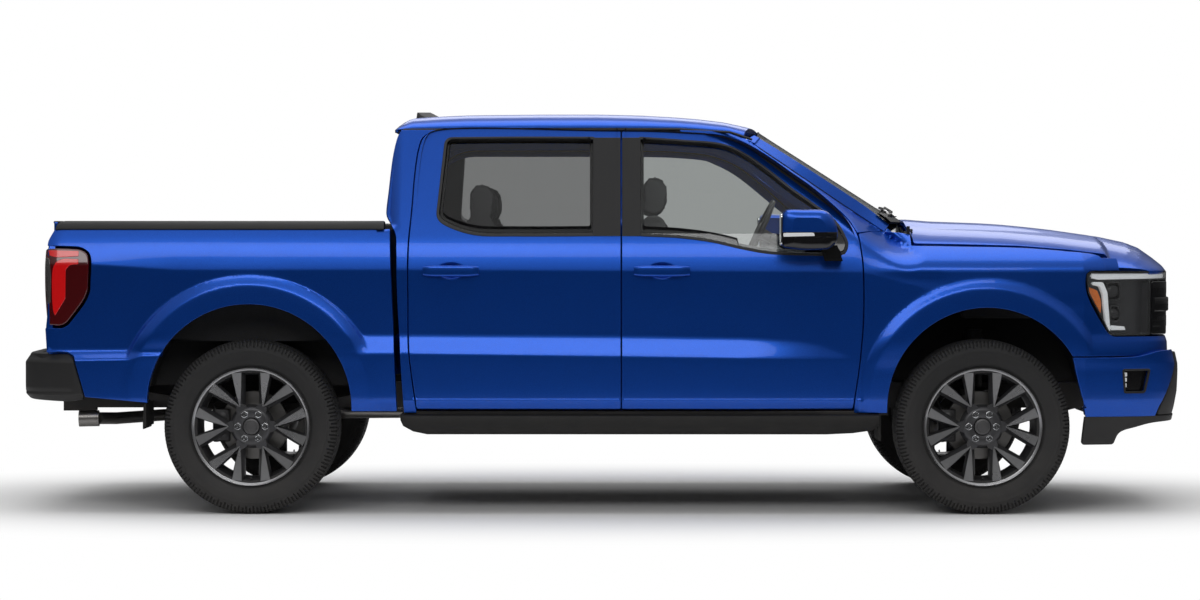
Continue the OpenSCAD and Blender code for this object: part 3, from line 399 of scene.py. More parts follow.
def panel(part, loop, surf, facing, holes=(), cell=16.0, depth=14.0, roll=2.5, lines=(), back=False):
    """Skin over an outline in (u, v), shaped by surf, with rolled edges that turn in by depth."""
    loops = [grown(np.asarray(loop), -roll)]
    for h in holes:
        h = np.asarray(h)
        loops.append(grown(h if area(h) > 0 else h[::-1], roll)[::-1])
    lo, hi = loops[0].min(0), loops[0].max(0)
    pts = []
    if cell < FLAT:
        us = np.linspace(lo[0], hi[0], max(int((hi[0] - lo[0]) / cell), 2) + 1)[1:-1]
        vs = np.linspace(lo[1], hi[1], max(int((hi[1] - lo[1]) / cell), 2) + 1)[1:-1]
        pts.append(np.stack(np.meshgrid(us, vs), -1).reshape(-1, 2))
    free = np.vstack(pts) if pts else np.zeros((0, 2))
    extra = np.vstack([np.asarray(x) for x in lines]) if len(lines) else np.zeros((0, 2))
    if len(extra) and len(free):
        order = np.round(extra / (cell * 0.45)).astype(int)
        taken = {tuple(k) for k in order}
        near = np.array([tuple(k) in taken for k in np.round(free / (cell * 0.45)).astype(int)])
        free = free[~near]
    free = np.vstack([free, extra])
    if len(free):
        ok = inside(free, loops[0])
        for h in loops[1:]:
            ok &= ~inside(free, h)
        free = free[ok]
        for h in loops:
            free = free[clear_of(free, h, min(cell * 0.35, 4.0))]
    edge = np.vstack(loops)
    every = np.vstack([edge, free])
    edges, base = [], 0
    for h in loops:
        edges += [(base + i, base + (i + 1) % len(h)) for i in range(len(h))]
        base += len(h)
    co, _, tris, *_ = delaunay_2d_cdt([Vector(p) for p in every], edges, [], 0, 1e-4)
    uv = np.array([c[:] for c in co])
    tris = np.array([t for t in tris if len(t) == 3])
    mid = uv[tris].mean(1)
    ok = inside(mid, loops[0])
    for h in loops[1:]:
        ok &= ~inside(mid, h)
    tris = tris[ok]
    a, b, c = uv[tris[:, 0]], uv[tris[:, 1]], uv[tris[:, 2]]
    wind = (b[:, 0] - a[:, 0]) * (c[:, 1] - a[:, 1]) - (b[:, 1] - a[:, 1]) * (c[:, 0] - a[:, 0])
    n, sign = surface_normals(surf, uv, facing)
    flip = (wind < 0) == (sign > 0)
    tris[flip] = tris[flip][:, ::-1]
    part.add(surf(uv[:, 0], uv[:, 1]), tris, n)
    for h in loops:
        out = grown(h, 1.0) - h
        out /= np.maximum(np.linalg.norm(out, axis=1), 1e-9)[:, None]
        rings, ring_normals = [], []
        for t in (0, 30, 60, 90):
            q = h + out * roll * math.sin(math.radians(t))
            m, _ = surface_normals(surf, q, facing)
            p = surf(q[:, 0], q[:, 1]) - m * roll * (1 - math.cos(math.radians(t)))
            side = surf(q[:, 0] + out[:, 0], q[:, 1] + out[:, 1]) - surf(q[:, 0], q[:, 1])
            side /= np.maximum(np.linalg.norm(side, axis=1), 1e-9)[:, None]
            w = m * math.cos(math.radians(t)) + side * math.sin(math.radians(t))
            rings.append(p)
            ring_normals.append(w / np.linalg.norm(w, axis=1)[:, None])
        rings.append(p - m * (depth - roll))
        ring_normals.append(side)
        k = len(h)
        faces = []
        for r in range(len(rings) - 1):
            for i in range(k):
                f = (r * k + i, (r + 1) * k + i, (r + 1) * k + (i + 1) % k, r * k + (i + 1) % k)
                faces.append(f if sign > 0 else f[::-1])
        part.add(np.vstack(rings), faces, np.vstack(ring_normals))
    if back:
        behind = surf(uv[:, 0], uv[:, 1]) - n * depth
        part.add(behind, tris[:, ::-1], -n)
    return part


# ---- finishes ----
NUMBER, COLOUR = "NodeSocketFloat", "NodeSocketColor"


def node_group(name, inputs, outputs):
    """A shader group with its input and output nodes."""
    tree = bpy.data.node_groups.new(name, "ShaderNodeTree")
    for label, kind, value in inputs:
        socket = tree.interface.new_socket(name=label, in_out="INPUT", socket_type=kind)
        socket.default_value = value
    for label, kind in outputs:
        tree.interface.new_socket(name=label, in_out="OUTPUT", socket_type=kind)
    return tree, tree.nodes.new("NodeGroupInput"), tree.nodes.new("NodeGroupOutput")


def add_node(tree, kind, **values):
    """A shader node: in_2=6.0 sets input 2, and every other value is one of the node's own choices."""
    node = tree.nodes.new("ShaderNode" + kind)
    for key, value in values.items():
        if key.startswith("in_"):
            node.inputs[int(key[3:])].default_value = value
        else:
            setattr(node, key, value)
    return node


def preset(node, values):
    """Sets input sockets, by name or number, to plain values."""
    for socket, value in values.items():
        node.inputs[socket].default_value = value


def wire(tree, *joins):
    """Joins nodes; each join is (from node, output, to node, input)."""
    for start, output, end, socket in joins:
        tree.links.new(start.outputs[output], end.inputs[socket])


def moulded_grain():
    """Small pebbled grain with uneven gloss, for plastics, rubber, leather and cast metal."""
    tree, given, out = node_group("Moulded grain", [("Scale", NUMBER, 400.0), ("Gloss", NUMBER, 0.5),
        ("Uneven", NUMBER, 0.1)], [("Roughness", NUMBER), ("Height", NUMBER)])
    place = add_node(tree, "TexCoord")
    cells = add_node(tree, "TexVoronoi", feature="SMOOTH_F1")
    cloud = add_node(tree, "TexNoise", in_2=6.0, in_3=4.0)
    spread = add_node(tree, "Math", operation="SUBTRACT", in_1=0.5)
    swing = add_node(tree, "Math", operation="MULTIPLY_ADD")
    wire(tree, (place, "Object", cells, "Vector"), (place, "Object", cloud, "Vector"),
        (given, "Scale", cells, "Scale"), (cloud, "Fac", spread, 0), (spread, 0, swing, 0),
        (given, "Uneven", swing, 1), (given, "Gloss", swing, 2), (swing, 0, out, "Roughness"),
        (cells, "Distance", out, "Height"))
    return tree


def road_film():
    """A thin film of dust that gathers towards the ground, over a colour that is never quite even."""
    tree, given, out = node_group("Road film",
        [("Colour", COLOUR, (0.5, 0.5, 0.5, 1)), ("Film Colour", COLOUR, (0.23, 0.2, 0.17, 1)),
        ("Amount", NUMBER, 0.1), ("Top", NUMBER, 0.9), ("Shade", NUMBER, 0.1)],
        [("Colour", COLOUR), ("Mask", NUMBER)])
    place = add_node(tree, "TexCoord")
    split = add_node(tree, "SeparateXYZ")
    fall = add_node(tree, "Math", operation="DIVIDE")
    low = add_node(tree, "Math", operation="SUBTRACT", in_0=1.0, use_clamp=True)
    cloud = add_node(tree, "TexNoise", in_2=9.0, in_3=6.0)
    patch = add_node(tree, "Math", operation="MULTIPLY")
    mask = add_node(tree, "Math", operation="MULTIPLY", use_clamp=True)
    fine = add_node(tree, "TexNoise", in_2=55.0, in_3=3.0)
    tone = add_node(tree, "Math", operation="MULTIPLY_ADD")
    lift = add_node(tree, "Math", operation="SUBTRACT", in_0=1.0)
    dark = add_node(tree, "Mix", data_type="RGBA", blend_type="MULTIPLY")
    preset(dark, {0: 1.0})
    blend = add_node(tree, "Mix", data_type="RGBA")
    wire(tree, (place, "Object", split, 0), (place, "Object", cloud, "Vector"),
        (place, "Object", fine, "Vector"), (split, "Z", fall, 0), (given, "Top", fall, 1), (fall, 0, low, 1),
        (low, 0, patch, 0), (cloud, "Fac", patch, 1), (patch, 0, mask, 0), (given, "Amount", mask, 1),
        (given, "Shade", lift, 1), (fine, "Fac", tone, 0), (given, "Shade", tone, 1), (lift, 0, tone, 2),
        (given, "Colour", dark, 6), (tone, 0, dark, 7), (dark, 2, blend, 6), (given, "Film Colour", blend, 7),
        (mask, 0, blend, 0), (blend, 2, out, "Colour"), (mask, 0, out, "Mask"))
    return tree


def metal_flake():
    """Fine bright flakes under the clear coat."""
    tree, given, out = node_group("Metal flake",
        [("Colour", COLOUR, (0, 0, 1, 1)), ("Flake Colour", COLOUR, (0.2, 0.4, 1, 1)), ("Scale", NUMBER, 900.0),
        ("Amount", NUMBER, 0.3)], [("Colour", COLOUR), ("Height", NUMBER)])
    place = add_node(tree, "TexCoord")
    cells = add_node(tree, "TexVoronoi")
    value = add_node(tree, "SeparateColor")
    share = add_node(tree, "Math", operation="MULTIPLY")
    blend = add_node(tree, "Mix", data_type="RGBA")
    wire(tree, (place, "Object", cells, "Vector"), (given, "Scale", cells, "Scale"), (cells, "Color", value, 0),
        (value, 0, share, 0), (given, "Amount", share, 1), (share, 0, blend, 0), (given, "Colour", blend, 6),
        (given, "Flake Colour", blend, 7), (blend, 2, out, "Colour"), (value, 1, out, "Height"))
    return tree


GRAIN, FILM, FLAKE = moulded_grain(), road_film(), metal_flake()


def new_material(name):
    """A material with its node tree and its shader."""
    material = bpy.data.materials.new(name)
    material.use_nodes = True
    return material, material.node_tree, material.node_tree.nodes["Principled BSDF"]


def finish(name, colour, gloss=0.5, metal=0.0, grain=400.0, depth=0.1, uneven=0.12, film=0.12, shade=0.12,
        flake=None, glow=None, **more):
    """One material: colour with film and tone, gloss with grain, and a shallow bump."""
    mat, tree, shader = new_material(name)
    grained = add_node(tree, "Group", node_tree=GRAIN)
    preset(grained, {"Scale": grain, "Gloss": gloss, "Uneven": uneven})
    filmed = add_node(tree, "Group", node_tree=FILM)
    preset(filmed, {"Colour": (*colour, 1), "Amount": film, "Shade": shade})
    bump = add_node(tree, "Bump")
    preset(bump, {"Strength": depth, "Distance": 0.0006})
    if flake:
        flaked = add_node(tree, "Group", node_tree=FLAKE)
        preset(flaked, {"Colour": (*colour, 1), "Flake Colour": (*flake, 1)})
        wire(tree, (flaked, "Colour", filmed, "Colour"), (flaked, "Height", bump, "Height"))
    else:
        wire(tree, (grained, "Height", bump, "Height"))
    wire(tree, (filmed, "Colour", shader, "Base Color"), (grained, "Roughness", shader, "Roughness"),
        (bump, "Normal", shader, "Normal"))
    preset(shader, {"Metallic": metal})
    if glow:
        wire(tree, (filmed, "Colour", shader, "Emission Color"))
        preset(shader, {"Emission Strength": glow})
    for key, value in more.items():
        shader.inputs[key.replace("_", " ").title().replace("Ior", "IOR")].default_value = value
    return mat


def glass(name, tint, gloss=0.02):
    """Clear sheet whose shadow lets the light through."""
    mat, tree, shader = new_material(name)
    preset(shader, {"Base Color": (*tint, 1), "Roughness": gloss, "Transmission Weight": 1.0, "IOR": 1.45})
    grained = add_node(tree, "Group", node_tree=GRAIN)
    preset(grained, {"Scale": 3.0, "Gloss": gloss, "Uneven": 0.01})
    wire(tree, (grained, "Roughness", shader, "Roughness"))
    path = add_node(tree, "LightPath")
    thin = add_node(tree, "BsdfTransparent")
    preset(thin, {0: (*[v ** 0.5 for v in tint], 1)})
    both = add_node(tree, "MixShader")
    wire(tree, (path, "Is Shadow Ray", both, 0), (shader, 0, both, 1), (thin, 0, both, 2),
        (both, 0, tree.nodes["Material Output"], "Surface"))
    return mat


PAINT = finish("Metallic blue paint", (0.0008, 0.062, 0.44), 0.3, 0.72, depth=0.02, uneven=0.03, film=0.02,
    shade=0.03, flake=(0.02, 0.2, 0.95), coat_weight=0.35, coat_roughness=0.04)
TRIM = finish("Black moulded trim", (0.017, 0.017, 0.018), 0.55, grain=700, depth=0.35, film=0.1)
GLOSS_BLACK = finish("Gloss black trim", (0.008, 0.008, 0.009), 0.12, depth=0.02, film=0.03, coat_weight=0.5)
SEAL = finish("Rubber seal", (0.006, 0.006, 0.006), 0.7, grain=900, depth=0.2)
CHASSIS = finish("Black chassis paint", (0.02, 0.02, 0.021), 0.45, grain=260, depth=0.25, film=0.5)
PRIVACY = glass("Privacy glass", (0.70, 0.71, 0.71))
CLEAR = glass("Clear tinted glass", (0.93, 0.96, 0.95))
SHIELD = glass("Windshield glass", (0.93, 0.96, 0.95))
FRIT = finish("Baked glass border", (0.012, 0.012, 0.013), 0.1, grain=1500, depth=0.05, film=0.02)
LENS = glass("Lamp lens", (0.93, 0.94, 0.95), 0.01)
RED_LENS = finish("Dark red lens", (0.09, 0.0012, 0.003), 0.08, depth=0.02, film=0.02, coat_weight=1.0)
RED_LIT = finish("Red light guide", (0.8, 0.006, 0.008), 0.15, depth=0.05, film=0.0, glow=0.12, coat_weight=1.0)
SMOKE_LENS = finish("Smoked grey lens", (0.09, 0.085, 0.085), 0.15, grain=120, depth=0.5, film=0.0,
    coat_weight=1.0)
WHITE_LIT = finish("White light guide", (0.83, 0.85, 0.86), 0.2, grain=150, depth=0.15, film=0.0, glow=0.25)
AMBER = finish("Amber reflector", (0.9, 0.2, 0.006), 0.2, grain=110, depth=0.6, film=0.0, coat_weight=1.0)
CHROME = finish("Bright plated metal", (0.8, 0.81, 0.82), 0.12, 1.0, depth=0.02, film=0.03)
LAMP_BLACK = finish("Dark lamp housing", (0.03, 0.03, 0.033), 0.3, depth=0.1, film=0.0)
FACE_ALLOY = finish("Turned alloy face", (0.47, 0.47, 0.48), 0.28, 0.9, grain=500, depth=0.1, uneven=0.1,
    film=0.06)
DARK_ALLOY = finish("Dark grey alloy paint", (0.085, 0.085, 0.09), 0.36, 0.55, grain=600, depth=0.06, film=0.06)
RUBBER = finish("Tyre rubber", (0.022, 0.022, 0.023), 0.72, grain=420, depth=0.4, uneven=0.2, film=0.14,
    shade=0.3)
CAST = finish("Cast metal", (0.12, 0.12, 0.125), 0.5, 0.8, grain=170, depth=0.6, film=0.3)
DISC = finish("Ground steel disc", (0.33, 0.32, 0.31), 0.35, 0.9, grain=60, depth=0.25, film=0.2)
STEEL = finish("Exhaust steel", (0.28, 0.27, 0.26), 0.32, 0.95, grain=200, depth=0.15, uneven=0.25, film=0.3)
LEATHER = finish("Dark leather", (0.035, 0.035, 0.038), 0.48, grain=330, depth=0.9, film=0.0)
STITCH = finish("Grey thread", (0.25, 0.25, 0.26), 0.8, grain=900, depth=0.8, film=0.0)
CABIN = finish("Cabin plastic", (0.045, 0.045, 0.048), 0.6, grain=520, depth=0.5, film=0.0)
HEADLINER = finish("Headliner cloth", (0.3, 0.3, 0.29), 0.9, grain=1300, depth=0.9, film=0.0)
CARPET = finish("Carpet", (0.025, 0.025, 0.027), 0.95, grain=1100, depth=1.0, film=0.0)
SCREEN = finish("Dark display", (0.004, 0.005, 0.007), 0.08, depth=0.01, film=0.0, coat_weight=1.0)
LINER = finish("Sprayed bed lining", (0.016, 0.016, 0.017), 0.75, grain=210, depth=1.0, film=0.15)

# The record's material slot that each finish belongs to.
FINISHES = {"black_trim": (TRIM, GLOSS_BLACK, SEAL), "body_paint": (PAINT, LINER),
    "cabin_plastic": (CABIN, HEADLINER, CARPET, SCREEN), "cast_metal": (CAST, DISC),
    "chassis_black": (CHASSIS,), "clear_glass": (SHIELD, FRIT), "dark_glass": (PRIVACY,),
    "lamp_glass": (LENS, WHITE_LIT, AMBER, CHROME, LAMP_BLACK), "seat_leather": (LEATHER, STITCH),
    "tail_lens": (RED_LENS, RED_LIT, SMOKE_LENS), "tyre_rubber": (RUBBER,),
    "wheel_alloy": (FACE_ALLOY, DARK_ALLOY)}
SLOT_OF = {material.name: slot for slot, group in FINISHES.items() for material in group}


# ---- camera, floor and light ----
def background_level(tree, path):
    """White straight on, and greyer through glass."""
    shown = add_node(tree, "MapRange")
    preset(shown, {"To Min": 0.33})
    wire(tree, (path, "Is Camera Ray", shown, "Value"))
    return shown.outputs[0]


FLOOR_REACH = 60.0
STAGE_LENGTH, STAGE_WIDTH = 3.3, 1.7      # half sizes of the floor that keeps its own colour


def studio():
    """Camera, pale floor that is painted dark for reflections away from the truck, white background and three
    soft lamps.
    """
    scene = bpy.context.scene
    scene.view_settings.view_transform = "Standard"
    cam = bpy.data.objects.new("camera", bpy.data.cameras.new("camera"))
    scene.collection.objects.link(cam)
    scene.camera = cam
    cam.data.lens = 87.0
    cam.data.sensor_width = 36.0
    cam.data.clip_end = 200.0
    cam.location = (0.039, -15.292, 1.331)
    cam.rotation_euler = (math.radians(90 - 1.086), 0, math.radians(0.296))

    def surface(name, verts, faces, material):
        mesh = bpy.data.meshes.new(name)
        mesh.from_pydata(verts, [], faces)
        mesh.materials.append(material)
        obj = bpy.data.objects.new(name, mesh)
        scene.collection.objects.link(obj)

    pale, tree, shader = new_material("Pale floor")
    cloud = add_node(tree, "TexNoise", in_2=0.6, in_3=3.0)
    tint = add_node(tree, "Mix", data_type="RGBA")
    preset(tint, {6: (0.9, 0.9, 0.905, 1), 7: (0.93, 0.93, 0.93, 1)})
    wire(tree, (cloud, "Fac", tint, 0))
    # Painted shade: further out the floor's own colour turns nearly black, so the body's panels reflect
    # darkness and get little bounced light from there, while the camera still sees white.
    reflection_darkening = add_node(tree, "Mix", data_type="RGBA")
    preset(reflection_darkening, {7: (0.04, 0.04, 0.04, 1)})
    far = add_node(tree, "MapRange", interpolation_type="SMOOTHSTEP")
    preset(far, {"From Min": 1.35, "From Max": 2.2})
    wire(tree, (tint, 2, reflection_darkening, 6), (far, 0, reflection_darkening, 0), (reflection_darkening, 2, shader, "Base Color"))
    # Away from the truck the floor turns into plain white background.
    place = add_node(tree, "TexCoord")
    scaled = add_node(tree, "VectorMath", operation="MULTIPLY")
    preset(scaled, {1: (1 / STAGE_LENGTH, 1 / STAGE_WIDTH, 0)})
    reach_out = add_node(tree, "VectorMath", operation="LENGTH")
    fade = add_node(tree, "MapRange", interpolation_type="SMOOTHSTEP")
    preset(fade, {"From Min": 0.75, "From Max": 1.5})
    bright = add_node(tree, "Emission")
    path = add_node(tree, "LightPath")
    first = add_node(tree, "Math", operation="MAXIMUM")
    share = add_node(tree, "Math", operation="MULTIPLY")
    mixed = add_node(tree, "MixShader")
    wire(tree, (place, "Object", scaled, 0), (scaled, 0, reach_out, 0), (reach_out, "Value", fade, "Value"),
        (reach_out, "Value", far, "Value"), (path, "Is Camera Ray", first, 0),
        (path, "Is Transmission Ray", first, 1), (first, 0, share, 0))
    tree.links.new(background_level(tree, path), bright.inputs["Strength"])
    wire(tree, (fade, 0, share, 1), (share, 0, mixed, 0), (shader, 0, mixed, 1), (bright, 0, mixed, 2),
        (mixed, 0, tree.nodes["Material Output"], "Surface"))
    preset(shader, {"Roughness": 0.9, "Specular IOR Level": 0.1})
    surface("floor", [(x * FLOOR_REACH, y * FLOOR_REACH, 0) for x, y in ((-1, -1), (1, -1), (1, 1), (-1, 1))],
        [(0, 1, 2, 3)], pale)

    world = bpy.data.worlds.new("Studio")
    scene.world = world
    world.use_nodes = True
    tree = world.node_tree
    back = tree.nodes["Background"]
    path = add_node(tree, "LightPath")
    seen = add_node(tree, "Math", operation="MAXIMUM")
    toward = add_node(tree, "TexCoord")
    split = add_node(tree, "SeparateXYZ")
    sky = add_node(tree, "MapRange", interpolation_type="SMOOTHSTEP")
    preset(sky, {"From Min": 0.0, "From Max": 0.75, "To Min": 0.05, "To Max": 0.5})
    level = add_node(tree, "Mix", data_type="FLOAT")
    shown = background_level(tree, path)
    wire(tree, (path, "Is Camera Ray", seen, 0), (path, "Is Transmission Ray", seen, 1),
        (toward, "Generated", split, 0), (split, "Z", sky, "Value"), (seen, 0, level, 0), (sky, 0, level, 2))
    tree.links.new(shown, level.inputs[3])
    wire(tree, (level, 0, back, "Strength"))
    preset(back, {"Color": (1, 1, 1, 1)})

    def lamp(name, place, aim, width, depth, power):
        light = bpy.data.lights.new(name, "AREA")
        light.shape, light.size, light.size_y, light.energy = "RECTANGLE", width, depth, power
        obj = bpy.data.objects.new(name, light)
        scene.collection.objects.link(obj)
        obj.location = place
        obj.rotation_euler = (Vector(aim) - Vector(place)).to_track_quat("-Z", "Y").to_euler()

    lamp("overhead", (0, 0, 6.5), (0, 0, 0), 9.0, 5.0, 230)
    lamp("side key", (-1.0, -9.0, 6.0), (0, 0, 1.2), 9.0, 2.4, 190)
    lamp("far side", (1.0, 9.0, 6.0), (0, 0, 1.2), 9.0, 3.0, 140)


studio()


# ---- the body's surface ----
def along(x, table):
    """Value at x in a table of (x, value)."""
    xs, vs = zip(*sorted(table))
    return np.interp(x, xs, vs)


ARCH_Z = 535
FRONT_ARCH = (15, ARCH_Z, 488)
REAR_ARCH = (REAR - 6, ARCH_Z, 505)
FLARE_WIDTH = 141
FLARE_Y = 1018
SHOULDER = [(-4560, 1234), (-4397, 1234), (-3988, 1207), (-2935, 1207), (-1787, 1202), (-640, 1197),
    (-597, 1196), (-330, 1130), (-200, 1080), (400, 1000)]
BAND_LOW = [(-4560, 762), (-4222, 768), (-4147, 786), (-3050, 794), (-2890, 794), (-1787, 780), (-911, 768),
    (-640, 768)]
BAND_TOP = [(-4560, 804), (-4222, 804), (-4120, 800), (-3050, 886), (-2890, 886), (-1787, 880), (-1100, 868),
    (-911, 858), (-800, 838), (-720, 806), (-640, 780)]
HOOD_REAR = -340
EDGE_LINE = [(-340, 1334), (-100, 1330), (180, 1324), (420, 1306), (618, 1283), (645, 1212), (1100, 1212)]


def section_knots(x):
    """Heights and half widths of the side's section at each x."""
    zs, zl, zu = along(x, SHOULDER), along(x, BAND_LOW), along(x, BAND_TOP)
    lean = along(x, [(-4600, 0.083), (-1157, 0.083), (-627, 0.03), (1100, 0.03)])
    full = along(x, [(-4600, 1001), (-4200, 1004), (-3900, 1006), (-1200, 1006), (-627, 987), (1100, 987)])
    mid = 1000 + (np.minimum(zu, zs - 5) - zs) * lean
    heights = [500 + 0 * x, 560 + 0 * x, zl, np.minimum(zu, zs - 5), zs, np.maximum(zs + 30, 1290),
        1350 + 0 * x, 1388 + 0 * x, 1865 + 0 * x]
    widths = [full - 0.07 * (zl - 560) - 32, full - 0.07 * (zl - 560), np.maximum(full, mid), mid, 1000 + 0 * x,
        988 + 0 * x, 970 + 0 * x, 952 + 0 * x, 750 + 0 * x]
    return heights, widths


ROUND = [0, 12, 7, 14, 6, 55, 45, 24, 0]      # rounding of the side's section at each knot


def base_y(x, z):
    """Half width of the side before flares and corners, with its knots rounded."""
    h, w = section_knots(x)
    slope = [(w[i + 1] - w[i]) / (h[i + 1] - h[i]) for i in range(len(h) - 1)]
    y = w[0] + slope[0] * (z - h[0])
    for i in range(1, len(slope)):
        y = y + (slope[i] - slope[i - 1]) * ramp(z - h[i], ROUND[i])
    return y


def flare_y(x, z, arch):
    """Half width of the wheel arch's flare, rounded off at its outer edge."""
    cx, cz, r0 = arch
    r = np.hypot(x - cx, z - cz)
    edge = r0 + FLARE_WIDTH
    level = FLARE_Y - 22 * smooth_step(760, 500, z)
    return level - 0.5 * ramp(r - (edge - 46), 7) - 1.5 * ramp(r - edge, 4)


def side_y(x, z):
    """Half width of the body's outer skin at (x, z)."""
    x, z = np.asarray(x, float), np.asarray(z, float)
    y = base_y(x, z)
    # The fender's top rolls in towards the hood.
    roll_in = 1000 - 105 * (np.maximum(z - 1197, 0) / 129) ** 1.8
    y += (np.minimum(roll_in, 1000) - y) * smooth_step(-640, -300, x) * smooth_step(1150, 1210, z)
    y += (1000 - y) * smooth_step(-300, -150, x) * smooth_step(1000, 1100, z) * smooth_step(1220, 1197, z)
    # Flares stand out round both arches, most of all above them.
    for arch in (FRONT_ARCH, REAR_ARCH):
        f = flare_y(x, z, arch)
        near = smooth_step(arch[2] + 230, arch[2] + 190, np.hypot(x - arch[0], z - arch[1]))
        y += near * ramp(f - y, 9) * (0.35 + 0.65 * smooth_step(700, 900, z))
    # The doors' foot kicks out a little.
    y += 5 * smooth_step(574, 566, z) * (x < -600) * (x > -2935)
    # The cab's rear corner and the bed's tail turn in.
    corner = np.maximum(-2870 - x, 0) * smooth_step(1388, 1440, z) * (x > -2990)
    y -= corner ** 2 / 150
    y -= np.maximum(-(x - TAIL_X - 240), 0) ** 2 / 900
    # A hollow follows the windshield pillar from its foot to the roof.
    foot, head = np.array([-421.0, 1358.0]), np.array([-1123.0, 1838.0])
    d = (head - foot) / np.linalg.norm(head - foot)
    t = (x - foot[0]) * d[0] + (z - foot[1]) * d[1]
    gap = np.abs((x - foot[0]) * d[1] - (z - foot[1]) * d[0])
    near = np.clip(1 - gap / 125, 0, 1) ** 2.1 * smooth_step(-170, 30, t) * smooth_step(1130, 960, t)
    return y - near * np.maximum(y - (790 - 85 * t / 850), 0)


def upright(depth):
    """Surface over (x, z) on the right-hand side, depth(x, z) away from the middle of the truck."""
    return lambda u, v: xyz(u, -depth(u, v), v)


side = upright(side_y)


# The nose: distance u round from the middle of the front, then back along the side.
def nose_back(y):
    t = np.abs(y) / 1003
    return 110 * t ** 2 + 460 * t ** 14


turn = np.linspace(0, math.pi / 2, 400)
NOSE_Y = np.append(1003 * np.sin(turn), 1003.0)
NOSE_LINE_X = np.append(NOSE_X - nose_back(NOSE_Y[:-1]), -7000.0)
NOSE_U = np.append(0, np.cumsum(np.hypot(np.diff(NOSE_Y), np.diff(NOSE_LINE_X))))
tx, ty = np.gradient(NOSE_LINE_X[:-1]), np.gradient(NOSE_Y[:-1])
NOSE_NX = np.append(ty / np.hypot(tx, ty), 0.0)
NOSE_NY = np.append(-tx / np.hypot(tx, ty), 1.0)
SIDE_U = NOSE_U[-2]
SIDE_X = NOSE_LINE_X[-2]
NOSE_NX[-2], NOSE_NY[-2] = 0.0, 1.0


def u_of_x(x):
    return np.interp(-np.asarray(x, float), -NOSE_LINE_X, NOSE_U)


def u_of_y(y):
    return np.interp(y, NOSE_Y[:-1], NOSE_U[:-1])


def nose_surface(set_back, bulge=None):
    """Surface over (distance round the nose, height)."""
    def surf(u, v):
        u = np.asarray(u, float)
        s = np.abs(u)
        x = np.interp(s, NOSE_U, NOSE_LINE_X)
        y = np.interp(s, NOSE_U, NOSE_Y)
        nx, ny = np.interp(s, NOSE_U, NOSE_NX), np.interp(s, NOSE_U, NOSE_NY)
        front = nx ** 2
        off = (side_y(np.minimum(x, SIDE_X + 40), v) - 1003) * ny ** 2
        if bulge is not None:
            off = off + bulge(v) * front
        back = np.interp(v, set_back[0], set_back[1]) if isinstance(set_back, tuple) else set_back
        grow = smooth_step(SIDE_U + 60, SIDE_U - 330, s)
        return xyz(x + nx * off - back * grow, -np.sign(u + 1e-9) * (y + ny * off), v)
    return surf


# ---- outlines of the panels ----
OUT_RIGHT, INWARD, AFT, AHEAD, UP, DOWN = (0, -1, 0), (0, 1, 0), (-1, 0, 0), (1, 0, 0), (0, 0, 1), (0, 0, -1)
GAP = 5.0
B_LINE = -1787
FRONT_EDGE = [(-642, 520), (-635, 581), (-615, 725), (-596, 946), (-595, 1165), (-602, 1277), (-621, 1385),
    (-658, 1452), (-722, 1520), (-830, 1615), (-939, 1693), (-1049, 1771), (-1159, 1836), (-1270, 1874),
    (-1494, 1893)]
REAR_EDGE = [(-2720, 1902), (-2775, 1872), (-2798, 1812), (-2814, 1687), (-2825, 1497), (-2837, 1331),
    (-2838, 1055), (-2836, 836), (-2818, 671), (-2803, 560), (-2800, 520)]
FRONT_DOOR = outline([(B_LINE + GAP / 2, 520, 6), (-642, 520, 10)] + FRONT_EDGE[1:] + [(-1640, 1900),
    (B_LINE + GAP / 2, 1902, 5)])
REAR_DOOR = outline([(B_LINE - GAP / 2, 1902, 5)] + REAR_EDGE[:-1] + [(-2800, 520, 12),
    (B_LINE - GAP / 2, 520, 6)])
FRONT_WINDOW = outline([(-1695, 1865, 8), (-1494, 1851), (-1271, 1828), (-1160, 1777), (-1050, 1698),
    (-941, 1608), (-832, 1530), (-726, 1441), (-673, 1341, 22), (-690, 1296), (-730, 1288), (-839, 1289),
    (-1059, 1297), (-1191, 1320), (-1334, 1353), (-1499, 1375), (-1696, 1385, 8)])
REAR_WINDOW = outline([(-2662, 1863, 30), (-2300, 1866), (-1924, 1865, 8), (-1922, 1385, 8), (-2300, 1384),
    (-2518, 1391), (-2652, 1435), (-2697, 1466, 30)])


def beside(points, d):
    """The line of points moved to its right."""
    p = np.array(points, float)
    t = np.gradient(p, axis=0)
    t /= np.linalg.norm(t, axis=1)[:, None]
    return [tuple(q) for q in p + d * xyz(t[:, 1], -t[:, 0])]


def arc(cx, cz, r, a0, a1, n=40):
    """Points along a circle between two angles in degrees."""
    a = np.radians(np.linspace(a0, a1, n))
    return [(cx + r * math.cos(t), cz + r * math.sin(t)) for t in a]


def both(part, name, material, bodies="chassis", slot=None, replaces=None, **more):
    """The right-hand piece and its mirror image. bodies and replaces may hold %s for the side."""
    for sd in SIDES:
        shape = part if sd == "right" else part.mirrored()
        nodes = [n.replace("%s", sd) for n in (replaces or ())]
        shape.make(f"{name}_{sd}", material, bodies.replace("%s", sd), slot, nodes, **more)


def crease(table, x0, x1, *offsets, step=14):
    """Extra rows of points along a line of the side, so that its crease is drawn sharply."""
    xs = np.arange(x0, x1, step)
    return [xyz(xs, along(xs, table) + d) for d in offsets]


def flare_lines(arch, a0=-20, a1=200):
    """Extra rows of points round an arch, where its flare bends."""
    edge = arch[2] + FLARE_WIDTH
    return [np.array(arc(arch[0], arch[1], r, a0, a1, 130))
        for r in (edge - 54, edge - 47, edge - 40, edge - 6, edge + 1, edge + 8, edge + 16)]


def skin(name, material, loop, surf, facing, body="chassis", slot=None, replaces=(), **shape):
    """A piece that is one panel."""
    panel(Part(), loop, surf, facing, **shape).make(name, material, body, slot, replaces)


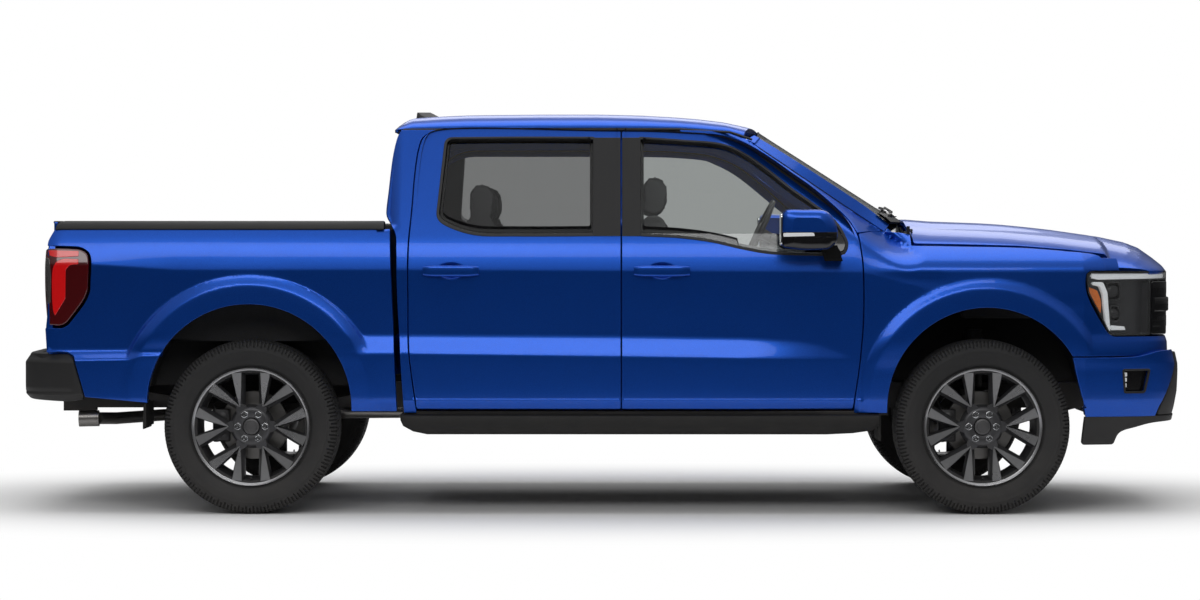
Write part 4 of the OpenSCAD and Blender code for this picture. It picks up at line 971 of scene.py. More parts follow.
def skin_pair(name, material, loop, surf, facing, body="chassis", slot=None, replaces=None, **shape):
    """A panel on the right-hand side and its mirror image."""
    both(panel(Part(), loop, surf, facing, **shape), name, material, body, slot, replaces)


def stacked(boxes):
    """Rounded boxes, each (corner, corner, edge radius, segments), as one shape."""
    part = Part()
    for box in boxes:
        part.block(*box)
    return part


def blocks(name, material, boxes, body="chassis", **more):
    """A piece made of rounded boxes."""
    stacked(boxes).make(name, material, body, **more)


def block_pair(name, material, boxes, body="chassis", **more):
    """The same with its mirror image."""
    both(stacked(boxes), name, material, body, **more)


# ---- doors ----
SEEN_LINES = (crease(SHOULDER, -2900, -600, -9, -3, 3, 9) + crease(BAND_LOW, -2900, -640, -9, -2, 5)
    + crease(BAND_TOP, -2900, -700, -12, 0, 12) + crease([(-3000, 570), (0, 570)], -2900, -600, -6, 0, 6)
    + crease([(-3000, 1388), (0, 1388)], -2900, -600, -14, 0, 14))


def door_inside_y(x, z):
    """Half width of the door's inner face, which stands in above the window line."""
    return np.where(z < 1310, 883, np.interp(z, [1310, 1345, 1865, 1908], [883, 904, 702, 680]))


inner = upright(door_inside_y)


HANDLE_Z, HANDLE_HALF = 1203, 138
DISH_WIDE, DISH_TALL, DISH_DEPTH = 78, 44, 26
BAR_SQUARENESS = 0.6


def handle_cup(x):
    """The door's skin with the oval dish behind its handle."""
    def dish(u, v):
        d = np.hypot((u - x) / DISH_WIDE, (v - HANDLE_Z) / DISH_TALL)
        return side_y(u, v) - DISH_DEPTH * smooth_step(1.0, 0.45, d)
    return dish


def door(end, shape, window, handle_x):
    cup = handle_cup(handle_x)
    skin = Part()
    dish = [circle(0, 0, 1, 40) * [DISH_WIDE * k, DISH_TALL * k] + [handle_x, HANDLE_Z]
        for k in (0.35, 0.6, 0.8, 1.0, 1.1)]
    panel(skin, shape, upright(cup), OUT_RIGHT, holes=[grown(window, 3)], cell=20, depth=46, roll=3,
        lines=SEEN_LINES + dish)
    both(skin, f"door_skin_{end}", PAINT, f"door_{end}_%s", replaces=[f"door_{end}_%s"])
    skin_pair(f"door_lining_{end}", CABIN, grown(shape, -20), inner, INWARD, holes=[grown(window, -20)],
        cell=34, depth=56, roll=8, body=f"door_{end}_%s")
    skin_pair(f"door_seal_{end}", SEAL, grown(shape, -9), lambda u, v: inner(u, v) - [0, 12, 0], INWARD,
        holes=[grown(window, -8)], cell=FLAT, depth=14, roll=3, body=f"door_{end}_%s")
    skin_pair(f"window_moulding_{end}", TRIM, grown(window, 10), upright(lambda u, v: side_y(u, v) + 3),
        OUT_RIGHT, holes=[grown(window, -5)], cell=FLAT, depth=26, roll=3, body=f"door_{end}_%s")
    x0, x1 = (B_LINE + 4, -1690) if end == "front" else (-1928, B_LINE - 4)
    skin_pair(f"pillar_cover_{end}", GLOSS_BLACK, rectangle(x0, 1376, x1, 1870, 3),
        upright(lambda u, v: side_y(u, v) + 4), OUT_RIGHT, cell=40, depth=8, roll=2, body=f"door_{end}_%s")
    # Grab handle: a bar with rounded ends over its dish.
    grip = Part()
    xs = np.linspace(-HANDLE_HALF, HANDLE_HALF, 29)
    rings = []
    for x in xs:
        t = abs(x) / HANDLE_HALF
        half, thick = 27 * (1 - 0.2 * t ** 4), 12 * (1 - 0.3 * t ** 6)
        a = turn_angles(20)
        ca, sa = (np.sign(q) * np.abs(q) ** BAR_SQUARENESS for q in (np.cos(a), np.sin(a)))
        y = -(side_y(handle_x, HANDLE_Z) + 16 - 13 * t ** 6) - thick * ca
        z = HANDLE_Z + half * sa
        rings.append(xyz(handle_x + x, y, z))
    grip.grid(rings, close_v=True).ends(20, 29, -1, 1)
    both(grip, f"door_handle_{end}", PAINT, f"door_{end}_%s", smooth=50)
    foot = Part()
    for x in (-112, 112):
        foot.block((handle_x + x - 14, -1006, 1192), (handle_x + x + 14, -985, 1214), 5)
    both(foot, f"handle_foot_{end}", TRIM, f"door_{end}_%s")


door("front", FRONT_DOOR, FRONT_WINDOW, -1587)
door("rear", REAR_DOOR, REAR_WINDOW, -2628)


# ---- cab sides ----
CAB_BACK = [(-2862, 500), (-2893, 1055), (-2899, 1300), (-2906, 1390), (-2950, 1462), (-2958, 1485),
    (-2949, 1605), (-2930, 1786), (-2908, 1878), (-2890, 1908)]
skin_pair("cab_rear_pillar", PAINT,
    outline([(-2800, 500, 3), (-2862, 500, 3)] + CAB_BACK[1:-1] + [(-2890, 1909, 3), (-2700, 1909, 3)]
    + beside(REAR_EDGE, GAP)[1:-1]), side, OUT_RIGHT, cell=16, depth=110, roll=2.5,
    lines=crease(SHOULDER, -2900, -2840, -3, 3, step=5) + crease([(-3000, 1388), (0, 1388)], -2900, -2840, -10,
    0, 10, step=6), replaces=["cab_sides"])

front_pillar = Part()
door_space = beside(FRONT_EDGE, GAP)
panel(front_pillar, outline([(-619, 1392, 3)] + [p for p in door_space if p[1] > 1395 and p[0] > -1480]
    + [(-1490, 1899, 2), (-1494, 1909, 2), (-1240, 1893), (-1117, 1843, 4), (-1115, 1836, 3), (-937, 1714),
    (-825, 1637), (-714, 1561), (-602, 1485), (-470, 1398, 4), (-533, 1402, 3)]), side, OUT_RIGHT, cell=14,
    depth=60, roll=2.5)
both(front_pillar, "cab_front_pillar", PAINT)


aperture = upright(lambda u, v: np.minimum(875, side_y(u, v) - 58))
aperture_front = outline([(-1730, 655, 30), (-745, 655, 60), (-690, 900), (-690, 1340), (-760, 1420),
    (-900, 1560), (-1150, 1760), (-1300, 1815), (-1480, 1835), (-1730, 1842, 40)])
aperture_rear = outline([(-2690, 725, 60), (-1850, 660, 30), (-1850, 1842, 40), (-2640, 1842, 60),
    (-2740, 1780), (-2770, 1400), (-2770, 1000)])
skin_pair("door_aperture", PAINT,
    outline([(-2870, 505, 4), (-2890, 1200), (-2900, 1400), (-2940, 1500), (-2900, 1860), (-2880, 1900, 6),
    (-1494, 1900), (-1250, 1880), (-1120, 1830, 5), (-937, 1700), (-714, 1548), (-560, 1440), (-522, 1390, 10),
    (-522, 505, 4)]), aperture, OUT_RIGHT, holes=[aperture_front, aperture_rear], cell=60, depth=72, roll=8)
weather = Part()
for hole in (aperture_front, aperture_rear):
    ring = grown(hole, 6)
    pts = xyz(ring[:, 0], -np.minimum(875, side_y(ring[:, 0], ring[:, 1]) - 58) - 3, ring[:, 1])
    weather.tube(pts[::2], 7, 8, closed=True, caps=False)
both(weather, "door_weatherstrip", SEAL)
latch = Part()
for x, z in ((B_LINE + 42, 1020), (-2791, 1020)):
    latch.block((x - 16, -884, z - 26), (x + 16, -872, z + 26), 4)
    latch.tube([(x - 8, -882, z - 12), (x - 8, -900, z - 12), (x - 8, -902, z), (x - 8, -900, z + 12),
        (x - 8, -882, z + 12)], 5, 8)
for x0 in (-712, B_LINE - 52):
    for z in (770, 1210):
        latch.block((x0, -885, z - 26), (x0 + 40, -872, z + 26), 4)
        latch.lathe([(0, -24), (8, -24), (8, 24), (0, 24)], (x0 + 20, -884, z), axis=2, sides=14)
both(latch, "hinges_and_latches", CAST)
skin_pair("rocker", CHASSIS,
    outline([(-2868, 470, 6), (-2868, 511, 3), (-700, 511), (-560, 511, 3), (-540, 470, 6)]),
    upright(lambda u, v: 946 + 0 * u), OUT_RIGHT, cell=FLAT, depth=140, roll=4, back=True, slot="black_trim")

# ---- roof ----
ROOF_HALF = 727


def rounded_profile(power, root, rise, half):
    """Across-the-top profile as (share of half width, share of height) by distance from the middle."""
    s = np.linspace(0, math.pi / 2, 400)
    t, h = np.sin(s) ** (2 / power), np.cos(s) ** (2 * root)
    length = np.append(0, np.cumsum(np.hypot(np.diff(t) * half, np.diff(h) * rise)))
    return t, h, length / length[-1]


ROOF_T, ROOF_H, ROOF_S = rounded_profile(6, 0.5, 80, 726)
ROOF_TOP = [(-2926, 1916), (-2905, 1945), (-2870, 1970), (-2842, 1980), (-2700, 1990), (-2564, 1996),
    (-2200, 2000), (-1897, 2000), (-1692, 1995), (-1517, 1985), (-1394, 1975), (-1271, 1960), (-1147, 1934),
    (-1071, 1910)]
ROOF_EDGE = [(-2926, 1908), (-1494, 1910), (-1240, 1895), (-1110, 1852), (-1070, 1850)]


def roof_surface(u, v):
    """u runs across the roof from the middle, v along it."""
    a = np.clip(np.abs(u) / 900, 0, 1)
    t, h = np.interp(a, ROOF_S, ROOF_T), np.interp(a, ROOF_S, ROOF_H)
    half = along(v, [(-2926, 700), (-2850, 722), (-2000, ROOF_HALF), (-1400, 724), (-1071, 703)])
    low, high = along(v, ROOF_EDGE), along(v, ROOF_TOP)
    y = half * t
    return xyz(v, -np.sign(u) * y, low + (high - low) * h)


roof_front = [(u, -1073 - (np.interp(abs(u) / 900, ROOF_S, ROOF_T) * 710) ** 2 / 5200)
    for u in np.linspace(890, -890, 60)]
skin("roof_skin", PAINT,
    outline([(-890, -2926, 30), (0, -2936), (890, -2926, 30)] + [(*roof_front[0], 3)] + roof_front[1:-1]
    + [(*roof_front[-1], 3)]), roof_surface, UP, cell=24, depth=16, roll=3, replaces=["roof"])
skin("headliner", HEADLINER, taper(800, -2890, 780, -1190, 60), lambda u, v: roof_surface(u, v) - [0, 0, 34],
    DOWN, cell=60, depth=10, roll=4)
channel = Part()
xs = np.linspace(-2880, -1130, 80)
channel.tube(xyz(xs, -724, along(xs, ROOF_EDGE) + 1), 6, 8)
both(channel, "roof_ditch_strip", TRIM)
fin = Part()
rows = []
for h, x0, x1, w in ((-14, -2700, -2872, 32), (2, -2712, -2868, 30), (20, -2742, -2864, 21),
        (36, -2772, -2862, 12), (45, -2790, -2860, 6)):
    a = turn_angles(32)
    cx, rx = (x0 + x1) / 2, (x0 - x1) / 2
    rows.append(xyz(cx + rx * np.cos(a), w * np.sin(a) * (1 - 0.35 * np.cos(a)), 1984.0 + h))
fin.grid(rows, close_v=True).ends(32, 5, last=1)
fin.make("aerial_fin", GLOSS_BLACK, smooth=45)

# ---- windshield and rear window ----
FOOT = np.array([-354.0, 1463.0])
UP_GLASS = np.array([-0.8425, 0.5388])
OUT_GLASS = np.array([0.5388, 0.8425])


def shield(u, v, lift=0.0):
    """u runs across the windshield, v up it from its foot."""
    sag = u ** 2 / 5000
    x = FOOT[0] + UP_GLASS[0] * v - OUT_GLASS[0] * (sag - lift)
    z = FOOT[1] + UP_GLASS[1] * v - OUT_GLASS[1] * (sag - lift)
    return xyz(x, -u, z)


shield_loop = outline([(-788, 2, 30), (788, 2, 30), (703, 846, 40), (-703, 846, 40)])
skin("windshield", SHIELD, shield_loop, shield, (0.54, 0, 0.84), cell=70, depth=5, roll=0.6, back=True,
    replaces=["cab_glass"])
skin("windshield_border", FRIT, grown(shield_loop, -1), lambda u, v: shield(u, v, 0.5), (0.54, 0, 0.84),
    holes=[outline([(-715, 70, 40), (715, 70, 40), (640, 800, 40), (110, 800, 20), (90, 730, 30),
    (-90, 730, 30), (-110, 800, 20), (-640, 800, 40)])], cell=80, depth=0.4, roll=0.1)
seal = Part()
ring = grown(shield_loop, 1)
seal.tube(shield(ring[:, 0], ring[:, 1], -1)[::2], 5, 8, closed=True, caps=False)
seal.make("windshield_seal", SEAL)


def back_glass(u, v):
    return xyz(np.interp(v, [1500, 1700, 1820], [-2957, -2941, -2919]), u, v)


pane = Part()
back_loop = taper(590, 1508, 570, 1814, 40)
panel(pane, back_loop, back_glass, AFT, cell=60, depth=5, roll=0.6, back=True)
pane.make("rear_window", PRIVACY, replaces=["cab_glass"])
ring = grown(back_loop, 2)
seal = Part()
seal.tube(back_glass(ring[:, 0], ring[:, 1])[::2], 7, 8, closed=True, caps=False)
seal.make("rear_window_seal", SEAL)


def cab_wall(u, v):
    x = np.interp(v, [505, 1055, 1300, 1390, 1462, 1485, 1605, 1786, 1878, 1908],
        [-2864, -2893, -2899, -2906, -2950, -2957, -2948, -2929, -2907, -2892])
    edge = np.maximum(np.abs(u) - np.interp(v, [500, 1388, 1865, 1908], [900, 890, 680, 655]), 0)
    return xyz(x + edge ** 2 / 240, u, v)


skin("cab_rear_wall", PAINT,
    outline([(-940, 560, 6), (940, 560, 6), (975, 1000), (960, 1340), (930, 1390), (742, 1850), (722, 1906, 10),
    (-722, 1906, 10), (-742, 1850), (-930, 1390), (-960, 1340), (-975, 1000)]), cab_wall, AFT,
    holes=[grown(back_loop, 6)], cell=30, depth=40, roll=4, replaces=["cab_back"])
skin("rear_wall_trim", CABIN,
    outline([(-790, 665, 10), (790, 665, 10), (800, 1320), (650, 1860, 20), (-650, 1860, 20), (-800, 1320)]),
    lambda u, v: cab_wall(u, v) + [46, 0, 0], AHEAD, holes=[grown(back_loop, -6)], cell=60, depth=6, roll=3)
blocks("high_stop_lamp", RED_LENS, [((-2932, -75, 1838), (-2906, 75, 1862), 6)])

# ---- front fenders ----
FENDER_LOW, LAMP_LOW, GRILLE_HALF = 783, 878, 600


def from_xz(points):
    """Points in (x, z) written over (distance round the nose, height)."""
    return [(float(u_of_x(p[0])), *p[1:]) for p in points]


cx, cz, arch_r = FRONT_ARCH
a_front = math.degrees(math.asin((FENDER_LOW - cz) / arch_r))
a_rear = 180 + math.degrees(math.asin((cz - 500) / arch_r))
grille_u = float(u_of_y(GRILLE_HALF))
rear_line = [p for p in beside(FRONT_EDGE, GAP) if 530 < p[1] < 1380]
FENDER = outline(from_xz([(cx + arch_r * math.cos(math.radians(a_rear)), 500, 2), (-637, 500, 4)] + rear_line
    + [(-612, 1388, 3), (-533, 1401, 4), (-386, 1392), (-346, 1384, 4), (-345, 1329, 3), (-100, 1325),
    (180, 1319), (420, 1301), (608, 1278), (634, 1255), (640, 1206, 4), (530, 1206, 24), (511, 1190),
    (512, 1094), (650, 897), (684, LAMP_LOW, 22)]) + [(grille_u + 8, LAMP_LOW, 4),
    (grille_u + 8, FENDER_LOW + 20), (grille_u + 8, FENDER_LOW, 3)]
    + from_xz([(cx + arch_r * math.cos(math.radians(a_front)), FENDER_LOW, 2)] + arc(cx, cz, arch_r,
    a_front + 1, a_rear - 1, 70)))
fender_nose = nose_surface(([0, 783, 878, 1000, 1210], [55, 55, 58, 62, 66]),
    lambda v: -10 * smooth_step(850, 880, v))
fender_lines = [xyz(u_of_x(q[:, 0]), q[:, 1]) for q in flare_lines(FRONT_ARCH) + crease(SHOULDER, -640, -300,
    -8, -3, 3, 8)]
skin_pair("front_fender", PAINT, FENDER, fender_nose, (0.3, -1, 0), cell=17, depth=30, roll=2.5,
    lines=fender_lines, replaces=["fenders"])

# ---- hood ----
HOOD_T, HOOD_H, HOOD_S = rounded_profile(3.2, 0.75, 110, 880)
HOOD_RISE = [(0, 1207), (8, 1222), (20, 1237), (62, 1276), (124, 1323), (187, 1348), (312, 1374), (437, 1389),
    (561, 1404), (686, 1415), (811, 1425), (936, 1432), (1186, 1441), (1311, 1451)]


def hood_surface(u, v):
    """u runs across the hood from the middle, v along it; it falls to the fender's edge line at the sides."""
    a = np.clip(np.abs(u) / 920, 0, 1)
    t, h = np.interp(a, HOOD_S, HOOD_T), np.interp(a, HOOD_S, HOOD_H)
    half = along(v, [(HOOD_REAR, 872), (-100, 885), (180, 893), (620, 893), (1100, 893)])
    y = half * t
    front = NOSE_X - 66 - nose_back(y)
    high = along(np.maximum(front - v, 0), HOOD_RISE)
    low = -22 * np.logaddexp(-along(v, EDGE_LINE) / 22, -high / 22)
    dome = 13 * smooth_step(620, 450, y) * smooth_step(150, 950, front - v)
    return xyz(v, -np.sign(u) * y, low + (high - low) * h + dome)


def hood_front(u):
    """Where the hood ends at u."""
    return NOSE_X - 66 - float(nose_back(893 * np.interp(min(abs(u) / 920, 1), HOOD_S, HOOD_T)))


us = np.linspace(-912, 912, 90)
hood_loop = outline([(-912, HOOD_REAR + 6, 20)] + [(u, HOOD_REAR - 14 + 20 * (u / 912) ** 2)
    for u in np.linspace(-700, 700, 12)] + [(912, HOOD_REAR + 6, 20)] + [(us[-1], hood_front(us[-1]), 4)]
    + [(u, hood_front(u)) for u in us[::-1][1:-1]] + [(us[0], hood_front(us[0]), 4)])
hood = Part()
hood_lines = [xyz(s * u, np.linspace(-320, 900, 60)) for s in (1, -1)
    for u in (470, 490, 510, 530, 550, 800, 860, 890)]
panel(hood, hood_loop, hood_surface, UP, cell=20, depth=22, roll=2.5, lines=hood_lines)
hood.make("hood_skin", PAINT, "hood", replaces=["hood"])
skin("hood_frame", PAINT, grown(hood_loop, -45), lambda u, v: hood_surface(u, v) - [0, 0, 30], DOWN,
    holes=[outline([(s * 120, 0, 40), (s * 120 + s * 480, 0, 40), (s * 120 + s * 480, 500, 60),
    (s * 120, 560, 60)]) for s in (1, -1)], cell=50, depth=9, roll=4, body="hood")
pad = Part()
panel(pad, grown(hood_loop, -70), lambda u, v: hood_surface(u, v) - [0, 0, 26], DOWN, cell=60, depth=4, roll=2)
pad.make("hood_pad", CARPET, "hood", "black_trim")
block_pair("hood_hinge_arm", CHASSIS,
    [((-336, -740, 1345), (-236, -690, 1352), 2), ((-336, -740, 1345), (-326, -690, 1412), 3)], "hood")

# ---- bed ----
BED_FRONT, BED_TOP = -2935, 1411
rx, rz, rear_r = REAR_ARCH
b_front = -math.degrees(math.asin((rz - 509) / rear_r))
b_rear = 180 - math.degrees(math.asin((552 - rz) / rear_r))
front_x = rx + rear_r * math.cos(math.radians(b_front))
bedside = Part()
BEDSIDE = outline([(BED_FRONT + 38, 508, 4), (BED_FRONT + 2, BED_TOP, 4), (REAR - 972, BED_TOP, 10),
    (REAR - 1002, 1350), (REAR - 1004, 1327, 4), (REAR - 935, 1326), (REAR - 828, 1322, 34), (REAR - 789, 1280),
    (REAR - 789, 1107, 12), (REAR - 810, 1055), (REAR - 902, 933, 20), (REAR - 935, 918, 12),
    (REAR - 1018, 922, 8), (REAR - 1012, 802, 4), (REAR - 905, 801), (REAR - 872, 783, 8), (REAR - 817, 580, 6),
    (REAR - 507, 551, 2)] + [(p[0], p[1]) for p in arc(rx, rz, rear_r, b_rear - 1, b_front + 1, 70)]
    + [(front_x, 509, 2)])
bed_lines = (flare_lines(REAR_ARCH) + crease(SHOULDER, -4600, -2900, -9, -3, 3, 9) + crease(BAND_LOW, -4600,
    -2900, -9, 0, 9) + crease(BAND_TOP, -4600, -2900, -9, 0, 9))
panel(bedside, BEDSIDE, side, OUT_RIGHT, cell=17, depth=40, roll=2.5, lines=bed_lines)
both(bedside, "bedside_skin", PAINT, replaces=["bedsides"])
skin_pair("bed_inner_wall", LINER,
    outline([(REAR - 965, 852, 4), (REAR - 965, 1408, 6), (BED_FRONT - 22, 1408, 6), (BED_FRONT - 22, 852, 4)]),
    upright(lambda u, v: 838 - 4 * pressed(u, 260, 0.2, 0.8) * smooth_step(1380, 1330, v)), INWARD, cell=26,
    depth=12, roll=4)
gate_post = Part()
END_Z = [795, 830, 925, 1010, 1100, 1200, 1310, 1350, 1398]
END_X = [-1006, -1010, -1014, -1004, -1000, -1000, -1001, -997, -972]
end_outer = [(-float(side_y(np.array([REAR - 990.0]), np.array([float(z)]))[0]) + 2, z) for z in END_Z]
end_loop = outline([(-838, 795, 3), (*end_outer[0], 4), *end_outer[1:-1], (*end_outer[-1], 6), (-838, 1398, 4)])
panel(gate_post, end_loop, lambda u, v: xyz(REAR + np.interp(v, END_Z, END_X), u, v), AFT, cell=16, depth=34,
    roll=7)
both(gate_post, "bed_corner_post", PAINT)
skin("bed_front_wall", LINER, outline([(-838, 855, 4), (838, 855, 4), (838, 1408, 6), (-838, 1408, 6)]),
    lambda u, v: xyz(BED_FRONT - 92 + 8 * pressed(u, 330, 0.25, 0.6) * smooth_step(1380, 1330, v), u, v), AFT,
    cell=24, depth=36, roll=5, back=True)
ribs = Part()
ys = np.linspace(-630, 630, 281)
wave = 886.5 + 9 * pressed(ys + 630, 126, 0.25, 0.55)
ribs.grid([xyz(x, ys, wave) for x in (REAR - 948, REAR + 592)], flip=True)
ribs.grid([xyz(REAR - 948, ys, wave), xyz(REAR - 948, ys, 870)], flip=True)
ribs.make("bed_floor_ribs", LINER)
cap = Part()
sect = [(-836, 1405), (-836, 1443), (-846, 1449), (-915, 1449), (-932, 1444), (-946, 1424), (-949, 1409),
    (-940, 1405)]
smooth_sect = outline([(*sect[0], 1), (*sect[1], 5), sect[2], sect[3], sect[4], sect[5], (*sect[6], 2),
    (*sect[7], 1)], 6)
rows = []
for x, drop in ((REAR - 968, 26), (REAR - 962, 12), (REAR - 950, 4), (REAR - 930, 0), (BED_FRONT - 34, 0),
        (BED_FRONT - 28, 3)):
    q = smooth_sect.copy()
    q[:, 1] = 1405 + (q[:, 1] - 1405) * (1 - drop / 40)
    rows.append(ring_at(x, q))
cap.grid(rows, close_v=True).ends(len(smooth_sect), 6, -1, 1)
for x in np.linspace(REAR - 700, REAR + 420, 4):
    cap.block((x - 30, -905, 1446), (x + 30, -868, 1450.5), 1)
both(cap, "bed_rail_cap", TRIM, replaces=["bed_rail_caps"])
loops = Part()
for x in (REAR - 780, REAR + 380):
    loops.tube([(x - 26, -826, 960), (x - 26, -800, 955), (x - 12, -790, 950), (x + 12, -790, 950),
        (x + 26, -800, 955), (x + 26, -826, 960)], 6, 10)
    loops.block((x - 40, -834, 935), (x + 40, -824, 985), 4)
both(loops, "tie_down", CHASSIS)


# ---- front bumper, grille and lamps ----
def uy(y):
    return float(u_of_y(y))


def ux(x):
    return float(u_of_x(x))


def swell(v):
    """How far the front bumper stands out at each height."""
    return np.interp(v, [478, 520, 600, 700, 745, 778, 812], [-34, -18, -4, 0, -2, -16, -24])


bumper_surface = nose_surface(0, swell)
FOG = outline([(ux(690), 718, 12), (ux(836), 718, 12), (ux(815), 598, 14), (ux(704), 598, 10)], 8)
bumper = Part()
BUMPER = outline([(ux(517), 479, 5), (ux(470), 640), (ux(437), 776, 4), (ux(700), 777), (ux(780), 783),
    (uy(900), 806), (uy(800), 812, 14), (uy(806), 740), (uy(860), 600), (uy(886), 520), (uy(890), 479, 4)])
panel(bumper, BUMPER, bumper_surface, (0.4, -1, 0), holes=[FOG], cell=18, depth=34, roll=4,
    lines=[xyz(np.linspace(ux(430), uy(700), 90), z) for z in (738, 745, 752)])
both(bumper, "front_bumper_corner", PAINT, replaces=["front_bumper"])
skin_pair("fog_lamp_pocket", GLOSS_BLACK, grown(FOG, 4), lambda u, v: bumper_surface(u, v) + [-6, 26, 0],
    (0.4, -1, 0), cell=30, depth=12, roll=2)
rim = Part()
ring = grown(FOG, -3)
rim.tube((bumper_surface(ring[:, 0], ring[:, 1]) + [0, 6, 0])[::2], 7, 8, closed=True, caps=False)
both(rim, "fog_lamp_rim", TRIM)
spot = Part()
for z in (690, 664, 636):
    panel(spot, outline([(ux(704), z - 10, 4), (ux(704), z + 10, 4), (ux(722), z + 10, 4),
        (ux(722), z - 10, 4)], 6), lambda u, v: bumper_surface(u, v) + [-4, 14, 0], (0.4, -1, 0), cell=FLAT,
        depth=8, roll=2)
both(spot, "fog_lamp_leds", WHITE_LIT)

INTAKE = taper(470, 528, 500, 690, 30)
apron = Part()
edge_right = [(uy(886), 484, 4), (uy(880), 525), (uy(854), 602), (uy(800), 740), (uy(790), 800, 10)]
apron_loop = outline(edge_right + [(300, 788), (-300, 788)] + opposite(edge_right))
apron_surface = nose_surface(0, lambda v: swell(v) + np.interp(v, [480, 520, 740, 800], [2, -2, -2, 4]))
panel(apron, apron_loop, apron_surface, AHEAD, holes=[INTAKE], cell=26, depth=40, roll=7)
apron.make("lower_front_panel", TRIM, replaces=["front_bumper"])
slats = Part()
for z in (560, 600, 640, 676):
    us = np.linspace(-500, 500, 40)
    p = apron_surface(us, np.full(40, z)) - [34, 0, 0]
    slats.grid([p + [0, 0, -7], p + [10, 0, -3], p + [10, 0, 3], p + [0, 0, 7], p + [-8, 0, 0]], close_u=True,
        flip=True)
for y in (-330, -110, 110, 330):
    slats.block((NOSE_X - 60, y - 5, 535), (NOSE_X - 38, y + 5, 690), 2)
slats.make("lower_intake_slats", TRIM)
blocks("intake_shroud", SEAL, [((NOSE_X - 130, -520, 510), (NOSE_X - 110, 520, 700), 4)])
skin("nose_strip", PAINT, rectangle(-grille_u - 3, 783, grille_u + 3, 878, 3), fender_nose, AHEAD, cell=30,
    depth=30, roll=3, replaces=["front_bumper"])

shelf = Part()
us = np.linspace(-uy(900), uy(900), 120)
shelf.grid([nose_surface(back)(us, np.full(120, z))
    for back, z in ((26, 770), (30, 790), (150, 802), (150, 770))], close_u=True, flip=True)
shelf.make("bumper_top_shelf", TRIM)
skin_pair("fender_corner", PAINT,
    outline([(ux(596), 1204, 4), (ux(596), 1268, 8), (ux(760), 1268, 8), (ux(760), 1204, 4)]), nose_surface(92),
    (0.4, -1, 0), cell=24, depth=16, roll=3)

valance = Part()
tail = [(ux(716), 338, 16), (ux(738), 395), (ux(830), 425), (uy(870), 446), (uy(600), 452)]
low_loop = outline([(uy(600), 482), (ux(517), 482, 4), (ux(517), 338, 14)] + tail[:-1] + [(uy(600), 452)]
    + [(-uy(600), 452)] + opposite(tail[:-1]) + [(-ux(517), 338, 14), (-ux(517), 482, 4), (-uy(600), 482)])
panel(valance, low_loop, nose_surface(([330, 440, 482], [40, 34, 24])), AHEAD, cell=40, depth=20, roll=4)
valance.make("front_valance_skin", TRIM, replaces=["front_valance"])
skid = Part()
skid.block((690, -430, 444), (NOSE_X - 60, 430, 452), 3)
skid.block((690, -520, 436), (930, 520, 460), 5)
for s in (1, -1):
    skid.block((700, s * 405, 458), (760, s * 475, 498), 5)
skid.make("skid_plate", CHASSIS)

GRILLE_EDGE = uy(882)
frame_part = Part()
for s in (1, -1):
    side_post = outline([(s * GRILLE_EDGE, 886, 12), (s * GRILLE_EDGE, 1152, 12), (s * uy(700), 1152, 12),
        (s * uy(720), 886, 12)])
    panel(frame_part, side_post, nose_surface(60), (1, -s, 0), cell=24, depth=30, roll=6)
ring = taper(uy(740), 884, uy(720), 1204, 20)
panel(frame_part, ring, nose_surface(62), AHEAD, holes=[taper(uy(690), 916, uy(670), 1150, 24)], cell=24,
    depth=46, roll=7)
frame_part.make("grille_frame", GLOSS_BLACK, replaces=["grille"])
bars = Part()
for z, h, out in ((1118, 30, 6), (1036, 34, 16), (952, 30, 6)):
    us = np.linspace(-GRILLE_EDGE + 8, GRILLE_EDGE - 8, 90)
    mid = nose_surface(66 - out)(us, np.full(90, z))
    bars.grid([mid + [-16, 0, -h], mid + [-3, 0, -h], mid + [0, 0, -h + 5], mid + [0, 0, h - 5],
        mid + [-3, 0, h], mid + [-16, 0, h]], close_u=True, flip=True)
    k = bars.count - 6 * 90
    bars.faces.append(tuple(k + 90 * i for i in range(6)))
    bars.faces.append(tuple(k + 90 * i + 89 for i in range(5, -1, -1)))
bars.make("grille_bars", GLOSS_BLACK)
mesh_bars = Part()
for k in range(26):
    z = 920 + 9.0 * k
    us = np.linspace(-uy(700), uy(700), 60)
    mid = nose_surface(100)(us, np.full(60, z))
    mesh_bars.grid([mid + [0, 0, -1.5], mid + [3, 0, 0], mid + [0, 0, 1.5]], close_u=True, flip=True)
for y in np.linspace(-680, 680, 80):
    x = NOSE_X - 103 - nose_back(y)
    mesh_bars.block((x - 3, y - 2, 912), (x + 2, y + 2, 1152), 0)
mesh_bars.make("grille_mesh", TRIM)
skin("radiator_shroud", SEAL, rectangle(-uy(760), 880, uy(760), 1205, 4), nose_surface(150), AHEAD, cell=60,
    depth=10, roll=2)

LAMP_RIGHT = outline([(ux(530), 1200, 16), (ux(515), 1190), (ux(518), 1096, 20), (ux(658), 898, 14),
    (ux(686), 883, 16), (GRILLE_EDGE + 3, 884, 14), (GRILLE_EDGE + 3, 1155, 10), (grille_u + 130, 1157, 5),
    (grille_u + 130, 1202, 8)], 10)
lamp_skin = nose_surface(62)


def lamp_depth(d):
    """The headlamp's surface set back by d."""
    def surf(u, v):
        p = lamp_skin(u, v)
        s = np.abs(np.asarray(u, float))
        nx, ny = np.interp(s, NOSE_U, NOSE_NX), np.interp(s, NOSE_U, NOSE_NY)
        return p - xyz(nx * d, -np.sign(u) * ny * d, 0 * s)
    return surf


def lamp_piece(name, loops, depth_in, thick, material, slot="lamp_glass", roll=2.0, cell=26, back=False,
        holes=(), replaces=None):
    part = Part()
    for loop in loops:
        panel(part, loop, lamp_depth(depth_in), (0.5, -1, 0), cell=cell, depth=thick, roll=roll, back=back,
            holes=holes)
    both(part, name, material, "chassis", slot, replaces)


